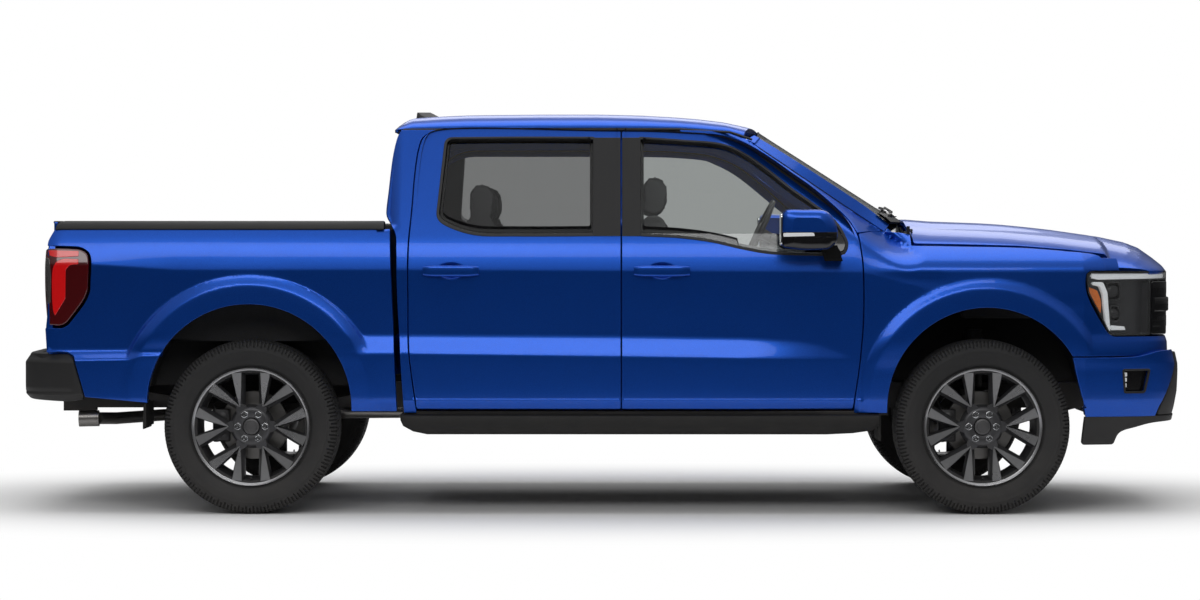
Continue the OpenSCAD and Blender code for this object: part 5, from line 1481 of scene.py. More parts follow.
def shape_at(points, step=8):
    """Outline on the nose, with its points given by x instead of by distance round the nose."""
    return outline([(ux(p[0]), *p[1:]) for p in points], step)


lamp_piece("headlamp_lens", [LAMP_RIGHT], 2, 3, LENS, roll=0.8, back=True, replaces=["headlamps"])
lamp_piece("headlamp_housing", [grown(LAMP_RIGHT, 2)], 62, 6, LAMP_BLACK, roll=1)
wall_part = Part()
ring = grown(LAMP_RIGHT, -1)
wall_part.grid([lamp_depth(d)(ring[:, 0], ring[:, 1]) for d in (3, 30, 64)], close_v=True, flip=True)
wall_part.grid([lamp_depth(d)(grown(ring, 3)[:, 0], grown(ring, 3)[:, 1]) for d in (3, 30, 64)], close_v=True)
both(wall_part, "headlamp_wall", LAMP_BLACK)
lamp_piece("headlamp_bezel", [LAMP_RIGHT], 4.5, 10, GLOSS_BLACK, holes=[grown(LAMP_RIGHT, -9)], roll=1.5,
    cell=FLAT)
lamp_piece("headlamp_top_bar",
    [outline([(ux(543), 1168, 5), (ux(545), 1190, 5), (grille_u + 138, 1190, 5), (grille_u + 138, 1166, 5),
    (ux(640), 1160, 6), (ux(590), 1160, 6)], 12)], 12, 22, WHITE_LIT, roll=5)
lamp_piece("headlamp_guide",
    [shape_at([(550, 1148, 4), (624, 1148, 14), (654, 1096, 10), (676, 906, 5), (648, 904, 5), (621, 1084, 14),
    (598, 1126, 10), (551, 1134, 4)])], 12, 22, WHITE_LIT, roll=5)
lamp_piece("headlamp_low_guide", [shape_at([(682, 934, 4), (768, 928, 4), (776, 910, 4), (684, 910, 4)])], 14,
    20, WHITE_LIT, roll=4)
lamp_piece("headlamp_amber",
    [shape_at([(523, 1126, 4), (586, 1106, 6), (612, 1050), (610, 992, 5), (568, 1030), (526, 1098, 5)])], 18,
    16, AMBER, roll=3)
box_part = Part()
for x0, x1, z0, z1 in ((652, 744, 1054, 1150), (676, 742, 950, 1034)):
    loop = shape_at([(x0, z0, 10), (x1, z0, 10), (x1, z1, 10), (x0, z1, 10)])
    panel(box_part, loop, lamp_depth(22), (0.5, -1, 0), holes=[grown(loop, -9)], cell=FLAT, depth=36, roll=3)
both(box_part, "headlamp_cells", GLOSS_BLACK, slot="lamp_glass")
eye = Part()
for x, z, r in ((698, 1102, 36), (709, 992, 28)):
    c = lamp_depth(40)(np.array([ux(x)]), np.array([float(z)]))[0]
    n = lamp_depth(39)(np.array([ux(x)]), np.array([float(z)]))[0] - c
    a = turn_angles(28)
    e1 = np.cross(n, [0, 0, 1])
    e1 /= np.linalg.norm(e1)
    rows = [c + n * (18 * math.cos(t))
        + (r * math.sin(t)) * (np.cos(a)[:, None] * e1 + np.sin(a)[:, None] * np.array([0, 0, 1.0]))
        for t in np.linspace(0.05, math.pi / 2, 8)]
    eye.grid(rows, close_v=True, flip=True).ends(28, 8, first=1)
both(eye, "headlamp_projector", GLOSS_BLACK, slot="lamp_glass")

# ---- tail lamps, tailgate and rear bumper ----
def tail_side(lift):
    """The tail lamp's surface, which rounds off at the bed's end."""
    def surf(u, v):
        y = side_y(np.maximum(u, REAR - 1000), v) + lift
        round_off = np.maximum(REAR - 985 - u, 0)
        return xyz(u, -(y - round_off ** 2 / 26), v)
    return surf


def tail_piece(name, points, lift, thick, material, roll=3.0, replaces=None):
    part = Part()
    panel(part, outline([(REAR + p[0], *p[1:]) for p in points], 10), tail_side(lift), OUT_RIGHT, cell=16,
        depth=thick, roll=roll)
    both(part, name, material, "chassis", "tail_lens", replaces)


tail_piece("tail_lamp_lens", [(-1022, 1314, 18), (-930, 1316), (-830, 1311, 28), (-801, 1280), (-801, 1110, 12),
    (-821, 1062), (-908, 945, 20), (-937, 931, 14), (-1012, 936, 10), (-1030, 1110)], 4, 60, RED_LENS, 8,
    ["taillamps"])
tail_piece("tail_lamp_guide_top", [(-1000, 1306, 5), (-846, 1302, 5), (-846, 1276, 4), (-960, 1272),
    (-990, 1280, 5)], 6.5, 6, RED_LIT, 2)
tail_piece("tail_lamp_guide", [(-846, 1262, 4), (-846, 1236, 6), (-884, 1232), (-908, 1210, 12),
    (-912, 1066, 6), (-966, 980, 5), (-975, 1010), (-972, 1215), (-955, 1250, 12), (-925, 1262)], 6.5, 6,
    RED_LIT, 2.5)
tail_piece("tail_lamp_reverse", [(-1012, 1272, 5), (-990, 1262, 5), (-982, 1180), (-988, 1045, 5),
    (-1010, 1040, 5), (-1016, 1150)], 6.0, 6, SMOKE_LENS, 2)
block_pair("tail_lamp_side", RED_LENS, [((REAR - 1012, -945, 940), (REAR - 975, -842, 1314), 10)])

GATE = taper(826, 874, 829, 1447, 8)
HANDLE_HOLE = taper(105, 1246, 100, 1306, 12, 8)


def gate_face(u, v):
    """Tailgate face with a raised border round a shallow field."""
    x = REAR - 1012 + 14 * smooth_step(1330, 1390, v) + 10 * smooth_step(960, 890, v)
    frame_in = smooth_step(640, 700, np.abs(u)) + smooth_step(1210, 1240, v) + smooth_step(990, 960, v)
    x = x + 8 * (1 - np.clip(frame_in, 0, 1))
    return xyz(x, u, v)


skin("tailgate_skin", PAINT, GATE, gate_face, AFT, holes=[HANDLE_HOLE], cell=20, depth=18, roll=4,
    lines=[xyz(np.linspace(-640, 640, 60), z) for z in (962, 975, 988, 1212, 1225, 1238)], body="tailgate",
    replaces=["tailgate"])


def gate_lining(u, v):
    """The tailgate's inner face, with upright ribs pressed in between its flat edges."""
    ribs = pressed(u, 300, 0.2, 0.7) * smooth_step(910, 950, v) * smooth_step(1400, 1360, v)
    return xyz(REAR - 958 - 7 * ribs, u, v)


skin("tailgate_lining", LINER, grown(GATE, -3), gate_lining, AHEAD, cell=30, depth=34, roll=6, body="tailgate")
blocks("tailgate_cap", TRIM, [((REAR - 1002, -826, 1438), (REAR - 955, 826, 1451), 6, 3)], "tailgate")
pull = Part()
panel(pull, grown(HANDLE_HOLE, 3), lambda u, v: xyz(REAR - 972, u, v), AFT, cell=FLAT, depth=6, roll=1)
pull.block((REAR - 1014, -92, 1272), (REAR - 1000, 92, 1300), 5, 3)
pull.block((REAR - 1004, -80, 1276), (REAR - 972, -66, 1296), 3)
pull.block((REAR - 1004, 66, 1276), (REAR - 972, 80, 1296), 3)
pull.make("tailgate_handle", TRIM, "tailgate")
pin = Part()
pin.lathe([(0, -13), (14, -13), (14, 13), (0, 13)], (REAR - 972, -829, 868), sides=24)
both(pin, "tailgate_pivot", CHASSIS, "tailgate")
block_pair("tailgate_latch", CHASSIS, [((REAR - 966, -832, 1180), (REAR - 958, -820, 1200), 2)], "tailgate")


def tail_back(y):
    """How far the rear bumper's face stands forward of its middle."""
    t = np.abs(y) / 990
    return 30 * t ** 3 + 260 * t ** 22


TB_Y = 990 * np.sin(np.linspace(0, math.pi / 2, 300))
TB_X = TAIL_X + tail_back(TB_Y)
TB_Y, TB_X = np.append(TB_Y, 990.0), np.append(TB_X, TAIL_X + 700)
TB_U = np.append(0, np.cumsum(np.hypot(np.diff(TB_Y), np.diff(TB_X))))


def tail_wrap(inset, bulge=None):
    """Surface over (distance round the rear bumper, height)."""
    def surf(u, v):
        s = np.abs(u)
        x, y = np.interp(s, TB_U, TB_X), np.interp(s, TB_U, TB_Y)
        e = 2.0
        tx = np.interp(s + e, TB_U, TB_X) - np.interp(np.maximum(s - e, 0), TB_U, TB_X)
        ty = np.interp(s + e, TB_U, TB_Y) - np.interp(np.maximum(s - e, 0), TB_U, TB_Y)
        n = np.hypot(tx, ty)
        off = -inset + (bulge(u, v) if bulge else 0)
        return xyz(x - ty / n * off, np.sign(u) * (y + tx / n * off), v)
    return surf


def tu(x):
    return float(np.interp(x, TB_X[200:], TB_U[200:]))


REAR_U = tu(REAR - 822)


def rear_bulge(u, v):
    s = np.abs(u)
    ledge = -26 * smooth_step(746, 792, v) - 30 * smooth_step(600, 555, v)
    dent = -3 * smooth_step(594, 600, v) * smooth_step(612, 606, v) * smooth_step(REAR_U - 40, REAR_U - 80,
        s) * (s > 700)
    return ledge + dent


half_loop = [(tu(REAR - 907), 794, 6), (tu(REAR - 890), 786), (tu(REAR - 877), 776, 14), (tu(REAR - 824), 578),
    (tu(REAR - 826), 562, 6), (tu(REAR - 900), 556), (760, 566, 10)]
rear = Part()
plate_loop = rectangle(-262, 640, 262, 775, 12)
outer = outline(half_loop + [(700, 590), (-700, 590)] + opposite(half_loop) + [(-600, 798), (600, 798)])
panel(rear, outer, tail_wrap(0, rear_bulge), AFT, holes=[plate_loop], cell=22, depth=60, roll=9,
    lines=[xyz(np.linspace(-REAR_U, REAR_U, 160), z) for z in (752, 768, 784, 596, 603, 610)])
rear.make("rear_bumper_skin", TRIM, replaces=["rear_bumper"])
blocks("plate_recess", TRIM, [((TAIL_X + 44, -270, 632), (TAIL_X + 52, 270, 782), 3),
    ((TAIL_X + 40, -160, 650), (TAIL_X + 45, 160, 765), 3)])
for s, sd in ((-1, "right"), (1, "left")):
    blocks(f"plate_lamp_{sd}", WHITE_LIT,
        [((TAIL_X + 30, s * 190 - 22, 770), (TAIL_X + 44, s * 190 + 22, 782), 4)])
step_pad = Part()
for k in range(7):
    y0 = -420 + 140 * k
    step_pad.block((TAIL_X + 34, y0 - 52, 793), (TAIL_X + 118, y0 + 52, 799), 2)
ys = np.linspace(-935, 935, 60)
rim_line = xyz(TAIL_X + 30 + tail_back(ys) + 3, ys)
step_loop = outline([(p[0], p[1]) for p in rim_line] + [(REAR - 925, 935, 3), (REAR - 925, -935, 3)])
step_pad.slab(step_loop, 770, 794, "xy", 3)
for s in (1, -1):
    step_pad.block((TAIL_X + 95, s * 405, 570), (TAIL_X + 165, s * 455, 620), 4)
    step_pad.block((TAIL_X + 56, s * 380, 560), (TAIL_X + 96, s * 470, 780), 6)
step_pad.block((REAR - 948, -836, 792), (REAR - 925, 836, 866), 4)
step_pad.make("bumper_step", TRIM)

# ---- running boards, flaps and mirrors ----
board = Part()
BOARD = outline([(-802, 494, 2), (-960, 494, 8), (-984, 486), (-990, 440), (-975, 405), (-950, 395),
    (-880, 395), (-862, 412), (-840, 440), (-802, 470, 2)], 9)
rows = []
for x, sc, lift in ((-2880, 0.35, 60), (-2868, 0.6, 30), (-2820, 0.86, 12), (-2750, 1.0, 0), (-770, 1.0, 0),
        (-640, 0.94, 4), (-540, 0.8, 14), (-514, 0.62, 30)):
    q = BOARD.copy()
    q[:, 1] = 494 + (q[:, 1] - 494) * sc
    q[:, 0] = -802 + (q[:, 0] + 802) * (1 - lift / 600)
    rows.append(ring_at(x, q))
board.grid(rows, close_v=True).ends(len(BOARD), 8, -1, 1)
both(board, "running_board", SEAL, replaces=["running_boards"])
treads = Part()
for k in range(11):
    y = -850 - 11.0 * k
    for x0, x1 in ((-2700, -1900), (-1680, -800)):
        treads.block((x0, y - 3, 493), (x1, y + 3, 497.5), 1)
both(treads, "running_board_tread", SEAL)
brackets = Part()
for x in (-2600, -2100, -1500, -900):
    brackets.block((x - 25, -870, 470), (x + 25, -480, 482), 4)
    brackets.block((x - 25, -490, 470), (x + 25, -478, 560), 4)
both(brackets, "board_bracket", CHASSIS)
for tag, x, y0, y1, z0, z1 in (("front", -508, 742, 950, 363, 500), ("rear", REAR - 524, 725, 975, 420, 548)):
    flap = Part()
    loop = outline([(-y1, z0, 12), (-y0, z0, 12), (-y0, z1, 6), (-y1, z1, 6)])
    panel(flap, loop, lambda u, v: xyz(x - 10 * np.cos((v - z0) / (z1 - z0) * 1.4) * 0.5, u, v), AHEAD, cell=20,
        depth=5, roll=1.5, back=True)
    both(flap, f"mud_flap_{tag}", SEAL)

MIRROR_OUT, MIRROR_IN = 1186, 1036


def mirror_shell(part, low, high):
    """Housing rings from the door outwards."""
    pts = outline([(-1010, 1400), (-1004, 1488, 18), (-985, 1502), (-900, 1504), (-800, 1500), (-762, 1480, 26),
        (-736, 1420), (-731, 1350, 20), (-770, 1308, 22), (-900, 1306), (-1004, 1318, 18)], 10)
    mid = np.array([-870.0, 1402.0])
    rows = []
    for y, s in ((MIRROR_IN, 0.80), (MIRROR_IN + 12, 0.92), (MIRROR_IN + 40, 0.985), (MIRROR_OUT - 50, 1.0),
            (MIRROR_OUT - 18, 0.95), (MIRROR_OUT - 4, 0.82), (MIRROR_OUT, 0.6)):
        q = mid + (pts - mid) * s
        q[:, 1] = np.clip(q[:, 1], low, high)
        rows.append(xyz(q[:, 0], -float(y), q[:, 1]))
    part.grid(rows, close_v=True).ends(len(pts), 7, 1, -1)


for name, low, high, mat in (("mirror_cap", 1394, 1600, PAINT), ("mirror_band", 1370, 1393, GLOSS_BLACK),
        ("mirror_base", 1200, 1369, GLOSS_BLACK)):
    part = Part()
    mirror_shell(part, low, high)
    both(part, name, mat, "door_front_%s", "body_paint" if mat is PAINT else "black_trim", ["mirror_%s"],
        smooth=40)
skin_pair("mirror_indicator", WHITE_LIT,
    outline([(-1000, 1371, 5), (-1000, 1390, 5), (-852, 1391, 5), (-846, 1375, 5)], 8),
    upright(lambda u, v: MIRROR_OUT + 1.5 - np.interp(u, (-1006, -1002, -984, -954), (26, 18, 4, 0))),
    OUT_RIGHT, cell=FLAT, depth=5, roll=2, body="door_front_%s")
skin_pair("mirror_glass", CHROME, rectangle(-1172, 1330, -1052, 1484, 20), lambda u, v: xyz(-1011, u, v), AFT,
    cell=FLAT, depth=6, roll=1, body="door_front_%s")
arm = Part()
arm.grid([np.array([[-790, y, 1252], [-702, y, 1252], [-702 - k * 28, y, 1290 + k * 40],
    [-790 - k * 28, y, 1290 + k * 40]]) for y, k in ((-958, 0), (-1010, 0.1), (-1040, 0.9), (-1084, 1.0))],
    close_v=True)
arm.ends(4, 4, last=1)
both(arm, "mirror_arm", GLOSS_BLACK, "door_front_%s")
skin_pair("mirror_sail", GLOSS_BLACK,
    outline([(-676, 1345, 14), (-690, 1299, 16), (-800, 1294, 3), (-800, 1384), (-736, 1448, 6)]),
    upright(lambda u, v: side_y(u, v) - 4), OUT_RIGHT, cell=30, depth=16, roll=3, body="door_front_%s")

# ---- cowl and wipers ----
TILT = math.radians(57.4)


def on_shield(y, s, lift):
    """A point on the windshield: across, up the glass from its foot, and above it."""
    y, s = np.asarray(y, float), np.asarray(s, float)
    n = np.array([math.cos(TILT), 0, math.sin(TILT)])
    foot = np.stack([-354 - y ** 2 / 5000 - s * math.sin(TILT), y, 1463 + s * math.cos(TILT)], -1)
    return foot + n * lift


cowl = Part()
ys = np.linspace(-760, 760, 60)
cowl.grid([on_shield(ys, np.full(60, s), lift) for s, lift in ((-34, 3), (-10, 9), (36, 9), (44, 5), (44, 1),
    (-34, -8))], close_u=True, flip=True)
for y in np.linspace(-640, 640, 33):
    p = on_shield(y, 10, 11)
    cowl.block(p - [9, 12, 1.5], p + [9, 12, 1.5], 1)
cowl.make("cowl_panel", TRIM)
wipers = Part()
for pivot, y0, y1 in ((-560, -600, -40), (20, -20, 560)):
    line = np.linspace(y0, y1, 16)
    rise = 58 + 40 * np.linspace(0, 1, 16)
    wipers.tube(on_shield(line, rise, 13), 5.5, 8)
    wipers.tube(on_shield(line, rise, 7), 2.5, 6)
    mid = (y0 + y1) / 2
    wipers.tube([on_shield(pivot, 18, 16), on_shield(pivot + 120, 30, 24), on_shield(mid, 78, 22),
        on_shield(mid + 20, 79, 15)], (9, 8, 6, 5), 10)
    foot = on_shield(pivot, 18, 10)
    wipers.block(foot - [16, 16, 10], foot + [16, 16, 10], 6)
wipers.make("wipers", GLOSS_BLACK)

# ---- engine bay ----
cover = Part()
cover.block((-320, -235, 1146), (330, 235, 1184), 16, 3)
for k in range(5):
    cover.block((-270, -190 + 88 * k, 1180), (280, -162 + 88 * k, 1194), 5)
cover.lathe([(0, 1206), (34, 1204), (38, 1198), (38, 1180)], (290, -150, 0), axis=2, sides=32)
cover.make("engine_cover", TRIM, slot="cast_metal")
boxes = Part()
boxes.block((80, 430, 960), (350, 610, 1150), 12, 3)
boxes.block((72, 424, 1140), (358, 616, 1168), 8, 3)
boxes.block((-60, -630, 960), (320, -400, 1130), 18, 3)
boxes.block((-68, -638, 1126), (328, -394, 1186), 18, 3)
boxes.block((-250, 420, 1000), (-60, 600, 1160), 26, 4)
for y in (460, 580):
    boxes.lathe([(0, 1182), (11, 1181), (13, 1176), (13, 1164)], (130, y, 0), axis=2, sides=20)
boxes.lathe([(0, 1190), (34, 1189), (38, 1180), (38, 1156)], (-155, 510, 0), axis=2, sides=32)
boxes.make("battery_and_air_box", CABIN, slot="cast_metal")
hoses = Part()
for line, r in (([(130, -400, 1140), (120, -330, 1170), (60, -260, 1178), (0, -200, 1165)], 36),
        ([(780, 300, 1090), (620, 330, 1120), (460, 250, 1110), (390, 180, 1080)], 24),
        ([(780, -320, 700), (600, -330, 760), (480, -250, 820), (395, -200, 840)], 24)):
    p = np.array(line, float)
    s = np.linspace(0, 3, 25)
    hoses.tube(np.stack([np.interp(s, range(4), np.convolve(np.pad(p[:, k], 1, "edge"), (0.15, 0.7, 0.15),
        "valid")) for k in range(3)], 1), r, 14)
hoses.make("engine_hoses", SEAL, slot="cast_metal")
radiator = Part()
radiator.block((790, -560, 540), (832, 560, 1120), 6)
for k in range(54):
    radiator.block((784, -545 + 20.2 * k, 560), (790, -541 + 20.2 * k, 1100), 0)
radiator.lathe([(60, 0), (210, 4), (220, 30), (226, 30), (226, -6), (60, -6)], (770, 0, 820), axis=0, sides=60,
    sign=-1)
radiator.make("radiator", CAST)
support = Part()
support.block((780, -640, 1118), (900, 640, 1146), 8)
for s in (1, -1):
    support.block((-330, s * 706, 1060), (600, s * 700, 1236), 2)
    support.block((-330, s * 640, 1050), (600, s * 706, 1062), 3)
support.make("front_support_and_skirts", PAINT)

# ---- wheels and tyres ----
LUGS = 70


def wheel_points(points):
    """Points given as (across, up, outward from the wheel's middle plane), on the right-hand wheel at x = 0."""
    p = np.asarray(points, float)
    return np.stack([p[..., 0], -(WHEEL_Y + p[..., 2]), WHEEL_Z + p[..., 1]], -1)


def turned(p, angle):
    """Wheel points turned about the wheel's axis."""
    c, s = math.cos(angle), math.sin(angle)
    p = np.asarray(p, float)
    return np.stack([p[..., 0] * c - p[..., 1] * s, p[..., 0] * s + p[..., 1] * c, p[..., 2]], -1)


def four(part, name, material, slot, replaces=None, smooth=35.0):
    """The piece on all four wheels."""
    for tag, shift in (("front", 0), ("rear", REAR)):
        moved = Part()
        moved.add(np.vstack(part.verts) + [shift, 0, 0], part.faces, np.vstack(part.normals))
        both(moved, f"{name}_{tag}", material, f"wheel_{tag}_%s", slot,
            [n.replace("END", tag) for n in (replaces or ())], smooth=smooth)


def tyre():
    """Tyre with smooth walls, shoulder lugs and a grooved crown of five ribs."""
    part = Part()
    pitch = 2 * math.pi / LUGS
    steps = np.array([0, 0.05, 0.30, 0.35, 0.52, 0.57, 0.80, 0.85])
    angle = (np.arange(LUGS)[:, None] + steps).ravel() * pitch
    phase = np.tile(steps, LUGS)
    wall = [(280, 108), (298, 109.5), (301, 112), (304, 118), (307, 123), (311, 125.5), (326, 133),
        (342, 139.5), (352, 141.6), (358, 142.4), (372, 142.4), (374, 143.3), (378, 143.3), (380, 142.2),
        (391, 140.2)]
    lug = [(397, 138.6), (399, 138.8), (408, 135.5), (417, 129.5), (423, 124), (427, 117), (428.6, 110)]
    crown = []
    for y0, y1 in ((107, 75), (67, 33), (25, -25), (-33, -67), (-75, -107)):
        crown += [(y0, 0), (y0 - 0.5, 1), (y1 + 0.5, 1), (y1, 0)]
    section = [(r, w, 0) for r, w in wall] + [(r, w, 2) for r, w in lug]
    section += [(432 - 3.4 * (abs(w) / 107) ** 2 - (0 if up else 9), w, 3 if up else 4) for w, up in crown]
    section += [(r, -w, 2) for r, w in lug[::-1]] + [(r, -w, 0) for r, w in wall[::-1]]
    section += [(268, -104, 0), (268, 104, 0)]
    rows = []
    for r, w, kind in section:
        radius = np.full(len(angle), float(r))
        out = np.full(len(angle), float(w))
        if kind == 2:
            shift = (phase < 0.03) | (phase > 0.82)
            short = (phase > 0.32) & (phase < 0.55) & (r > 405)
            cut = np.where(shift | short, 1.0, 0.0)
            radius -= cut * (7 if r > 405 else 2)
            out -= np.sign(w) * cut * (6 if r < 420 else 2)
        if kind == 3:
            slant = (phase + 0.25 * math.sin(w / 40.0)) % 1.0
            radius -= np.where((slant < 0.07) | ((slant > 0.33) & (slant < 0.40) & (abs(w) > 30)), 8.0, 0.0)
        rows.append(wheel_points(np.stack([radius * np.cos(angle), radius * np.sin(angle), out], -1)))
    part.grid(rows, close_u=True, close_v=True, flip=True)
    four(part, "tread_tyre", RUBBER, "tyre_rubber", ["tyre_END_%s"], smooth=30)


tyre()
barrel = Part()
barrel_line = [(289, 119), (285, 113), (279, 111), (274, 104), (268, 96), (262, 60), (255, 30), (253, -50),
    (262, -84), (274, -104), (284, -112), (288, -118), (291.5, -119), (291.5, -112), (279, -104), (276, -80),
    (262, -60), (262, 26), (272, 44), (276, 100), (281, 106)]
barrel.lathe(barrel_line, (0, -WHEEL_Y, WHEEL_Z), sides=144, sign=-1)
barrel.grid(barrel.verts[0].reshape(len(barrel_line), 144, 3)[[-1, 0]], close_v=True)
hub_line = [(40, 78), (44, 90), (60, 94), (84, 95), (94, 90), (104, 74), (110, 50), (100, 30), (92, -17),
    (43, -17), (42.5, 60)]
barrel.lathe(hub_line, (0, -WHEEL_Y, WHEEL_Z), sides=96, sign=-1)
lip = Part()
lip.lathe([(279.5, 111.5), (285.5, 114), (289, 119.5), (291, 121.4), (291.8, 119), (291.8, 108)],
    (0, -WHEEL_Y, WHEEL_Z), sides=144, sign=-1)
arms, faces, dots = Part(), Part(), Part()
PAIRS, HALF_SPREAD = 6, math.radians(14.5)
SPOKE_ROOT, SPOKE_TIP, NUT_CIRCLE = 114.0, 276, 67.5


def at(c, across, off, h):
    """A point beside the spoke's centre line."""
    q = c + across * off
    return q[0], q[1], h


for k in range(PAIRS):
    spread = k * 2 * math.pi / PAIRS
    for side in (-1, 1):
        p0 = np.array([SPOKE_ROOT, 0.0])
        p1 = np.array([SPOKE_TIP * math.cos(HALF_SPREAD), side * SPOKE_TIP * math.sin(HALF_SPREAD)])
        along_arm = (p1 - p0) / np.linalg.norm(p1 - p0)
        across = np.array([-along_arm[1], along_arm[0]]) * side
        body_rows, face_rows = [], []
        for t in np.linspace(0, 1, 9):
            c = p0 + (p1 - p0) * t
            w_in, w_out = 1 + 21 * t ** 0.8, 3 + 25 * t ** 0.9
            top = 93 + 17 * t ** 1.3
            flank = 15 - 5 * t
            low = 44 + 8 * t
            flanks = ((-w_in - 7, low), (-w_in - 4, top - 12), (-w_in, top - 1), (w_out, top - 1),
                (w_out + flank * 0.5, top - 12), (w_out + flank, top - 26), (w_out + flank + 4, low))
            cut_face = ((-w_in, top - 1.2), (-w_in + 1.6 * min(1, t + 0.1), top + 0.9),
                (w_out - 1.6, top + 0.9), (w_out, top - 1.2))
            body_rows.append([at(c, across, *q) for q in flanks])
            face_rows.append([at(c, across, *q) for q in cut_face])
        for part, rows in ((arms, body_rows), (faces, face_rows)):
            pts = wheel_points(turned(rows, spread))
            part.grid(pts, close_v=part is arms, flip=side > 0)
            if part is arms:
                part.ends(len(rows[0]), len(rows), -side, side)
    web = [[(r, -w, low), (r, -w, high), (r, w, high), (r, w, low)] for r, w, low,
        high in ((62, 34, 60, 90), (104, 27, 56, 91), (126, 14, 52, 88), (140, 8, 48, 72))]
    arms.grid(wheel_points(turned(web, spread)), close_v=True, flip=True)
    arms.ends(4, 4, last=-1)
    c = wheel_points(turned([NUT_CIRCLE, 0, 0], spread))
    nut = Part()
    nut.lathe([(0, 111), (7.5, 110.5), (10, 107), (10.8, 103), (10.8, 92), (17, 95.6), (19, 94)], c, sides=6,
        sign=-1)
    dots.add(nut.verts[0], nut.faces)
four(barrel, "rim_barrel", DARK_ALLOY, "wheel_alloy", ["rim_END_%s"])
four(lip, "rim_lip", FACE_ALLOY, "wheel_alloy")
four(arms, "rim_spokes", DARK_ALLOY, "wheel_alloy")
four(faces, "rim_spoke_faces", FACE_ALLOY, "wheel_alloy", smooth=20)
four(dots, "wheel_nuts", CHROME, "wheel_alloy")
cap = Part()
cap.lathe([(0, 104.5), (20, 104), (34, 102), (38.5, 99.5), (40.5, 94), (40.5, 80), (0, 80)],
    (0, -WHEEL_Y, WHEEL_Z), sides=64, sign=-1)
cap.lathe([(26, 103.6), (27, 104.6), (28.5, 104.6), (29.5, 103.4)], (0, -WHEEL_Y, WHEEL_Z), sides=64, sign=-1)
four(cap, "hub_cap", CAST, "wheel_alloy")
valve = Part()
valve.tube(wheel_points([(0, -262, 92), (0, -258, 104), (0, -252, 112)]), 4.5, 10)
four(valve, "tyre_valve", RUBBER, "wheel_alloy")
for tag, shift in (("front", 0), ("rear", REAR)):
    disc, clamp = Part(), Part()
    disc.lathe([(96, 822.4), (96, 825), (168, 825), (171, 822.4), (171, 797.6), (96, 797.6)],
        (shift, 0, WHEEL_Z), sides=96, sign=-1)
    holder = "knuckle_%s" if tag == "front" else "chassis"
    both(disc, f"brake_disc_{tag}", DISC, holder)
    clamp.block((shift - 204, -847, WHEEL_Z - 82), (shift - 120, -827, WHEEL_Z + 82), 9, 3)
    clamp.block((shift - 206, -846, WHEEL_Z - 84), (shift - 172, -764, WHEEL_Z + 84), 9, 3)
    for z in (-44, 44):
        clamp.lathe([(0, 850.5), (20, 850), (26, 846), (26, 835)], (shift - 155, 0, WHEEL_Z + z), sides=28,
            sign=-1)
    clamp.tube([(shift - 190, -846, WHEEL_Z + 66), (shift - 205, -830, WHEEL_Z + 110),
        (shift - 150, -700, WHEEL_Z + 150)], 6, 8)
    both(clamp, f"brake_caliper_{tag}", CAST, holder)

# ---- inside the cab ----
def pad_form(loop, low, high, edge, crown=6):
    """Closed pad: a side outline carried across, drawn in towards its two ends."""
    part = Part()
    rows = []
    for t in np.concatenate([np.linspace(0, 1, 7) ** 1.4 * 0.5, 1 - np.linspace(1, 0, 7) ** 1.4 * 0.5]):
        y = low + (high - low) * t
        end = min(y - low, high - y)
        draw = edge * (1 - math.sqrt(max(0.0, 1 - (1 - min(1, end / edge)) ** 2)))
        ring = grown(loop, -draw * 0.75 - crown * (abs(t - 0.5) * 2) ** 2)
        rows.append(xyz(ring[:, 0], y, ring[:, 1]))
    return part.grid(rows, close_v=True).ends(len(loop), len(rows), -1, 1)


def plump(part, voxel, cap=24.0):
    """The pad swelled by its stuffing: remeshed, then blown up a little as cloth."""
    scene = bpy.context.scene

    def to_object(name, verts, faces):
        mesh = bpy.data.meshes.new(name)
        mesh.from_pydata((verts * MM).tolist(), [], faces)
        obj = bpy.data.objects.new(name, mesh)
        scene.collection.objects.link(obj)
        return obj

    def read(obj):
        done = obj.evaluated_get(bpy.context.evaluated_depsgraph_get()).to_mesh()
        pts = np.zeros(len(done.vertices) * 3)
        done.vertices.foreach_get("co", pts)
        return pts.reshape(-1, 3) / MM, [tuple(p.vertices) for p in done.polygons]

    rough = to_object("rough", np.vstack(part.verts), part.faces)
    again = rough.modifiers.new("even", "REMESH")
    again.mode, again.voxel_size = "VOXEL", voxel * MM
    before, faces = read(rough)
    bpy.data.objects.remove(rough)
    after = before
    soft = to_object("soft", before, faces)
    cloth = soft.modifiers.new("stuffing", "CLOTH")
    cloth.settings.use_pressure = True
    cloth.settings.uniform_pressure_force = 4.0
    cloth.settings.quality = 4
    cloth.settings.effector_weights.gravity = 0.0
    for frame_number in range(1, 21):
        scene.frame_set(frame_number)
    after, _ = read(soft)
    bpy.data.objects.remove(soft)
    scene.frame_set(1)
    move = after - before
    size = np.linalg.norm(move, axis=1, keepdims=True)
    move *= np.minimum(1.0, cap / np.maximum(size, 1e-6))
    return Part().add(before + move, faces)


def seam(pad, name, body, lines, direction, material=None, radius=2.2):
    """Piping laid on the pad along lines that are dropped onto it."""
    tree = BVHTree.FromPolygons([Vector(v) for v in np.vstack(pad.verts)], pad.faces)
    piping = Part()
    for line in lines:
        hits = []
        for p in line:
            hit, *_ = tree.ray_cast(Vector(p) - Vector(direction) * 400, Vector(direction))
            if hit is not None:
                hits.append(np.array(hit))
        if len(hits) > 3:
            piping.tube(hits, radius, 6)
    piping.make(name, material or STITCH, body, "seat_leather")


def shifted(part, dx=0.0, dy=0.0, dz=0.0):
    return Part().add(np.vstack(part.verts) + [dx, dy, dz], part.faces)


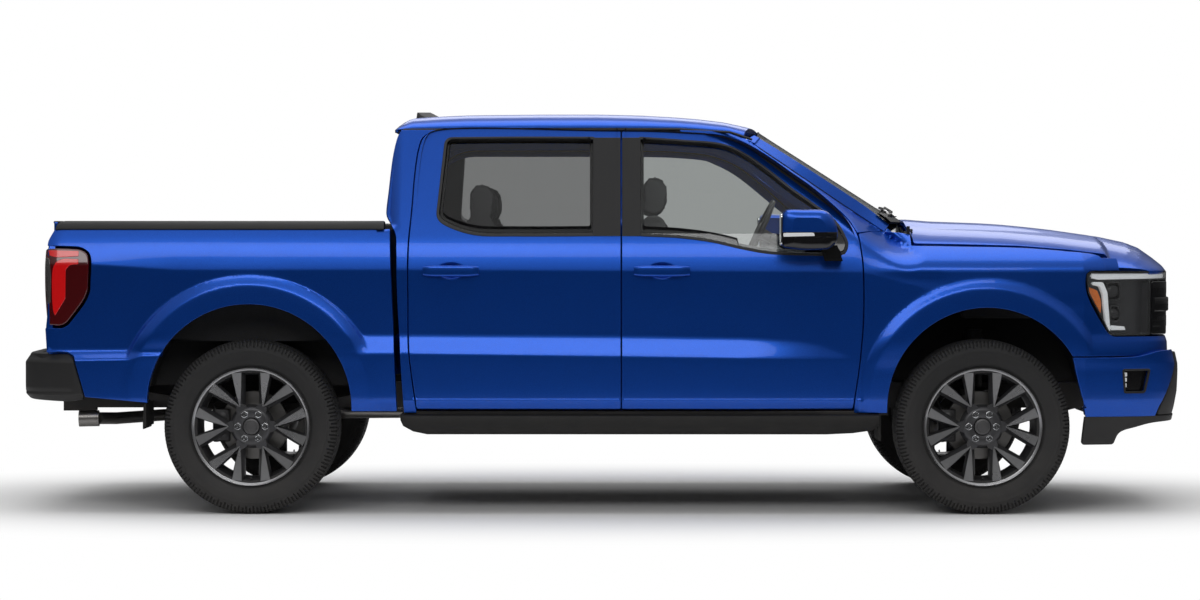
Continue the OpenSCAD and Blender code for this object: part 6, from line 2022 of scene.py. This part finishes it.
def soft_piece(part, name, replaces=None):
    obj = part.make(name, LEATHER, replaces=replaces, smooth=60)
    return obj


BASE_LOOP = outline([(-1540, 880, 26), (-1030, 905, 30), (-1000, 985, 40), (-1030, 1026, 34), (-1250, 1006),
    (-1500, 994, 30)], 24)[::-1]
BACK_LOOP = outline([(-1648, 1010, 30), (-1540, 985, 30), (-1500, 1020, 20), (-1552, 1250), (-1596, 1462, 30),
    (-1652, 1466, 30), (-1668, 1300)], 24)[::-1]
HEAD_LOOP = outline([(-1652, 1504, 24), (-1598, 1500, 24), (-1574, 1560, 20), (-1582, 1640, 30),
    (-1610, 1660, 22), (-1650, 1650, 30), (-1656, 1580)], 14)[::-1]
seat_base = plump(pad_form(BASE_LOOP, -226, 226, 46), 12)
seat_back = plump(pad_form(BACK_LOOP, -222, 222, 46), 12)
head_pad = plump(pad_form(HEAD_LOOP, -112, 112, 34), 8, 10)
SEAT_Y, BENCH_BEHIND = 430, 880
ys = np.linspace(-165, 165, 40)
for s, sd in ((-1, "right"), (1, "left")):
    base, back, head = (shifted(p, 0, s * SEAT_Y, 0) for p in (seat_base, seat_back, head_pad))
    soft_piece(base, f"seat_cushion_{sd}", ["seats"] if s < 0 else None)
    soft_piece(back, f"seat_back_{sd}")
    soft_piece(head, f"headrest_{sd}")
    xs = np.linspace(-1470, -1030, 36)
    lines = [[(x, s * SEAT_Y + w, 1000) for x in xs] for w in (-150, 150)] + [[(x, s * SEAT_Y + y, 1000)
        for y in ys] for x in (-1120, -1250, -1380)]
    seam(base, f"seat_cushion_seams_{sd}", "chassis", lines, (0, 0, -1))
    zs = np.linspace(1060, 1440, 30)
    lines = [[(-1560, s * SEAT_Y + w, z) for z in zs] for w in (-145, 145)] + [[(-1560, s * SEAT_Y + y, z)
        for y in ys] for z in (1120, 1240, 1360)]
    seam(back, f"seat_back_seams_{sd}", "chassis", lines, (-1, 0, 0))
    frame_piece = Part()
    frame_piece.block((-1560, s * SEAT_Y - 215, 800), (-1010, s * SEAT_Y + 215, 872), 20, 3)
    frame_piece.block((-1686, s * SEAT_Y - 190, 1030), (-1664, s * SEAT_Y + 190, 1420), 10, 3)
    for y in (-50, 50):
        frame_piece.tube([(-1620, s * SEAT_Y + y, 1440), (-1620, s * SEAT_Y + y, 1540)], 6, 10)
    for y in (-170, 170):
        frame_piece.block((-1560, s * SEAT_Y + y - 20, 664), (-1080, s * SEAT_Y + y + 20, 690), 5)
        for x in (-1500, -1140):
            frame_piece.block((x - 25, s * SEAT_Y + y - 14, 680), (x + 25, s * SEAT_Y + y + 14, 830), 5)
    frame_piece.make(f"seat_frame_{sd}", CABIN, slot="seat_leather")
bench = plump(pad_form(BASE_LOOP - [BENCH_BEHIND, 0], -630, 630, 50), 17)
bench_back = plump(pad_form(BACK_LOOP - [BENCH_BEHIND, 0], -630, 630, 50), 17)
soft_piece(bench, "rear_bench_cushion")
soft_piece(bench_back, "rear_bench_back")
ys = np.linspace(-590, 590, 90)
xs = np.linspace(-2350, -1910, 36)
seam(bench, "rear_bench_seams", "chassis", [[(x, w, 1000) for x in xs] for w in (-400, -130, 130, 400)]
    + [[(x, y, 1000) for y in ys] for x in (-2000, -2180)], (0, 0, -1))
zs = np.linspace(1060, 1440, 30)
seam(bench_back, "rear_back_seams", "chassis", [[(-2440, w, z) for z in zs] for w in (-400, -130, 130, 400)]
    + [[(-2440, y, z) for y in ys] for z in (1180, 1320)], (-1, 0, 0))
for k, y in enumerate((-400, 0, 400)):
    soft_piece(shifted(head_pad, -BENCH_BEHIND, y, -56 if y == 0 else -36), f"rear_headrest_{k + 1}")
bench_base = Part()
bench_base.block((-2440, -610, 664), (-1950, 610, 872), 24, 3)
for y in (-450, -350, -50, 50, 350, 450):
    bench_base.tube([(-2500, y, 1420), (-2500, y, 1500)], 6, 10)
bench_base.make("rear_bench_base", CABIN, slot="seat_leather")

dash = Part()
DASH = outline([(-545, 1046, 20), (-545, 1366, 10), (-620, 1388, 20), (-740, 1376, 20), (-792, 1340, 20),
    (-800, 1290, 14), (-772, 1240), (-768, 1130, 20), (-700, 1052, 30)], 14)
dash.grid([xyz((DASH[:, 0] + 660) * s - 660, y, (DASH[:, 1] - 1200) * s + 1200)
    for y, s in ((-786, 0.94), (-776, 1.0), (776, 1.0), (786, 0.94))], close_v=True, flip=True)
dash.ends(len(DASH), 4, 1, -1)
dash.make("dash_body", CABIN, replaces=["dashboard"])
blocks("dial_hood", CABIN,
    [((-842, 250, 1330), (-700, 550, 1398), 18, 4), ((-850, 236, 1384), (-700, 564, 1404), 9, 3)])
blocks("display_screens", SCREEN,
    [((-846, 268, 1336), (-838, 532, 1390), 3), ((-826, -170, 1150), (-812, 170, 1352), 5, 3)])
trim_line = Part()
trim_line.block((-806, -770, 1226), (-776, 770, 1240), 5, 3)
for y in (-640, -260, 240, 660):
    for k in range(5):
        trim_line.block((-812, y - 62, 1252 + 12 * k), (-790, y + 62, 1255 + 12 * k), 1)
trim_line.block((-812, -200, 1096), (-768, 200, 1134), 6)
for k in range(7):
    trim_line.lathe([(0, 20), (9, 19), (11, 14), (11, 0)], (-806, -150 + 50 * k, 1115), axis=0, sides=20,
        sign=-1)
trim_line.make("dash_trim", GLOSS_BLACK, slot="cabin_plastic")
blocks("centre_console", CABIN,
    [((-1440, -118, 668), (-770, 118, 900), 22, 3), ((-1430, -112, 890), (-1120, 112, 962), 26, 4),
    ((-850, -118, 668), (-660, 118, 1080), 26, 3)])
knobs = Part()
knobs.block((-960, -70, 898), (-900, -30, 960), 12, 4)
knobs.block((-1000, 0, 896), (-860, 60, 908), 5)
for y in (-40, 50):
    knobs.lathe([(38, 903), (42, 906), (46, 903), (46, 890), (38, 890)], (-1060, y, 0), axis=2, sides=36)
knobs.make("console_controls", GLOSS_BLACK, slot="cabin_plastic")
wheel_at, tilt = np.array([-1040.0, 400.0, 1400.0]), math.radians(115)
normal = np.array([math.sin(tilt), 0, math.cos(tilt)])
e1, e2 = np.array([0, 1.0, 0]), np.cross(normal, [0, 1.0, 0])
steer, hub = Part(), Part()
a = turn_angles(72)
steer.tube(wheel_at + 178 * (np.cos(a)[:, None] * e1 + np.sin(a)[:, None] * e2), 14.5 + 1.5 * np.cos(2 * a), 16,
    closed=True, caps=False)
steer.make("steering_wheel_rim", LEATHER, slot="cabin_plastic")
for a0 in (0, math.pi, math.pi * 1.5 if e2[2] > 0 else math.pi / 2):
    d = math.cos(a0) * e1 + math.sin(a0) * e2
    w = np.cross(normal, d)
    rows = [[wheel_at + d * r + w * b + normal * h for b, h in ((-k, -6), (-k, 6), (k, 6), (k, -6))]
        for r, k in ((30, 34), (90, 26), (172, 15))]
    hub.grid(np.array(rows), close_v=True)
section = [(0, -18), (40, -16), (56, -8), (60, 4), (56, 12), (30, 20), (26, 60), (26, 300), (0, 300)]
rings = [[wheel_at + normal * h + r * (math.cos(t) * e1 + math.sin(t) * e2) for t in a[::2]]
    for r, h in section]
hub.grid(np.array(rings), close_v=True, flip=True)
hub.make("steering_hub", CABIN)
stalks = Part()
for s in (1, -1):
    stalks.tube([wheel_at + normal * 70 + e1 * s * 24, wheel_at + normal * 62 + e1 * s * 110 + e2 * 10,
        wheel_at + normal * 60 + e1 * s * 170 + e2 * 14], (7, 6, 8), 10)
stalks.block((-770, 360, 690), (-690, 430, 790), 8)
stalks.block((-760, 260, 760), (-700, 330, 800), 8)
stalks.make("stalks_and_pedals", TRIM, slot="cabin_plastic")
look_back = Part()
look_back.block((-912, -130, 1700), (-890, 130, 1764), 14, 3)
look_back.tube([(-890, 0, 1740), (-862, 0, 1770), (-850, 0, 1773)], 9, 10)
look_back.make("inside_mirror", GLOSS_BLACK, slot="cabin_plastic")
mat = Part()
for x0, x1 in ((-1480, -620), (-2420, -1620)):
    for s in (1, -1):
        loop = rectangle(x0, s * 160, x1, s * 740, 40)
        panel(mat, loop, lambda u, v: xyz(u, v, 672), UP, cell=60, depth=6, roll=2)
mat.make("floor_mats", CARPET)

# ---- pieces kept from the frame ----
KEPT = {"glass_front": CLEAR, "glass_rear": PRIVACY, "frame_rails": CHASSIS, "crossmembers": CHASSIS,
    "cab_floor": CARPET, "bed_box": LINER, "wheel_liners": SEAL, "engine_block": CAST, "exhaust": STEEL,
    "fuel_tank": TRIM, "rear_axle": CHASSIS, "suspension": CHASSIS, "knuckle": CAST, "door": TRIM, "cab": TRIM,
    "roof": HEADLINER}
for node in frame["nodes"]:
    obj = bpy.data.objects[node]
    found = [start for start in KEPT if node.startswith(start)]
    if obj.hide_render or not found:
        continue
    chosen = KEPT[max(found, key=len)]
    if obj.material_slots:
        for place in obj.material_slots:
            place.material = chosen
    else:
        obj.data.materials.append(chosen)
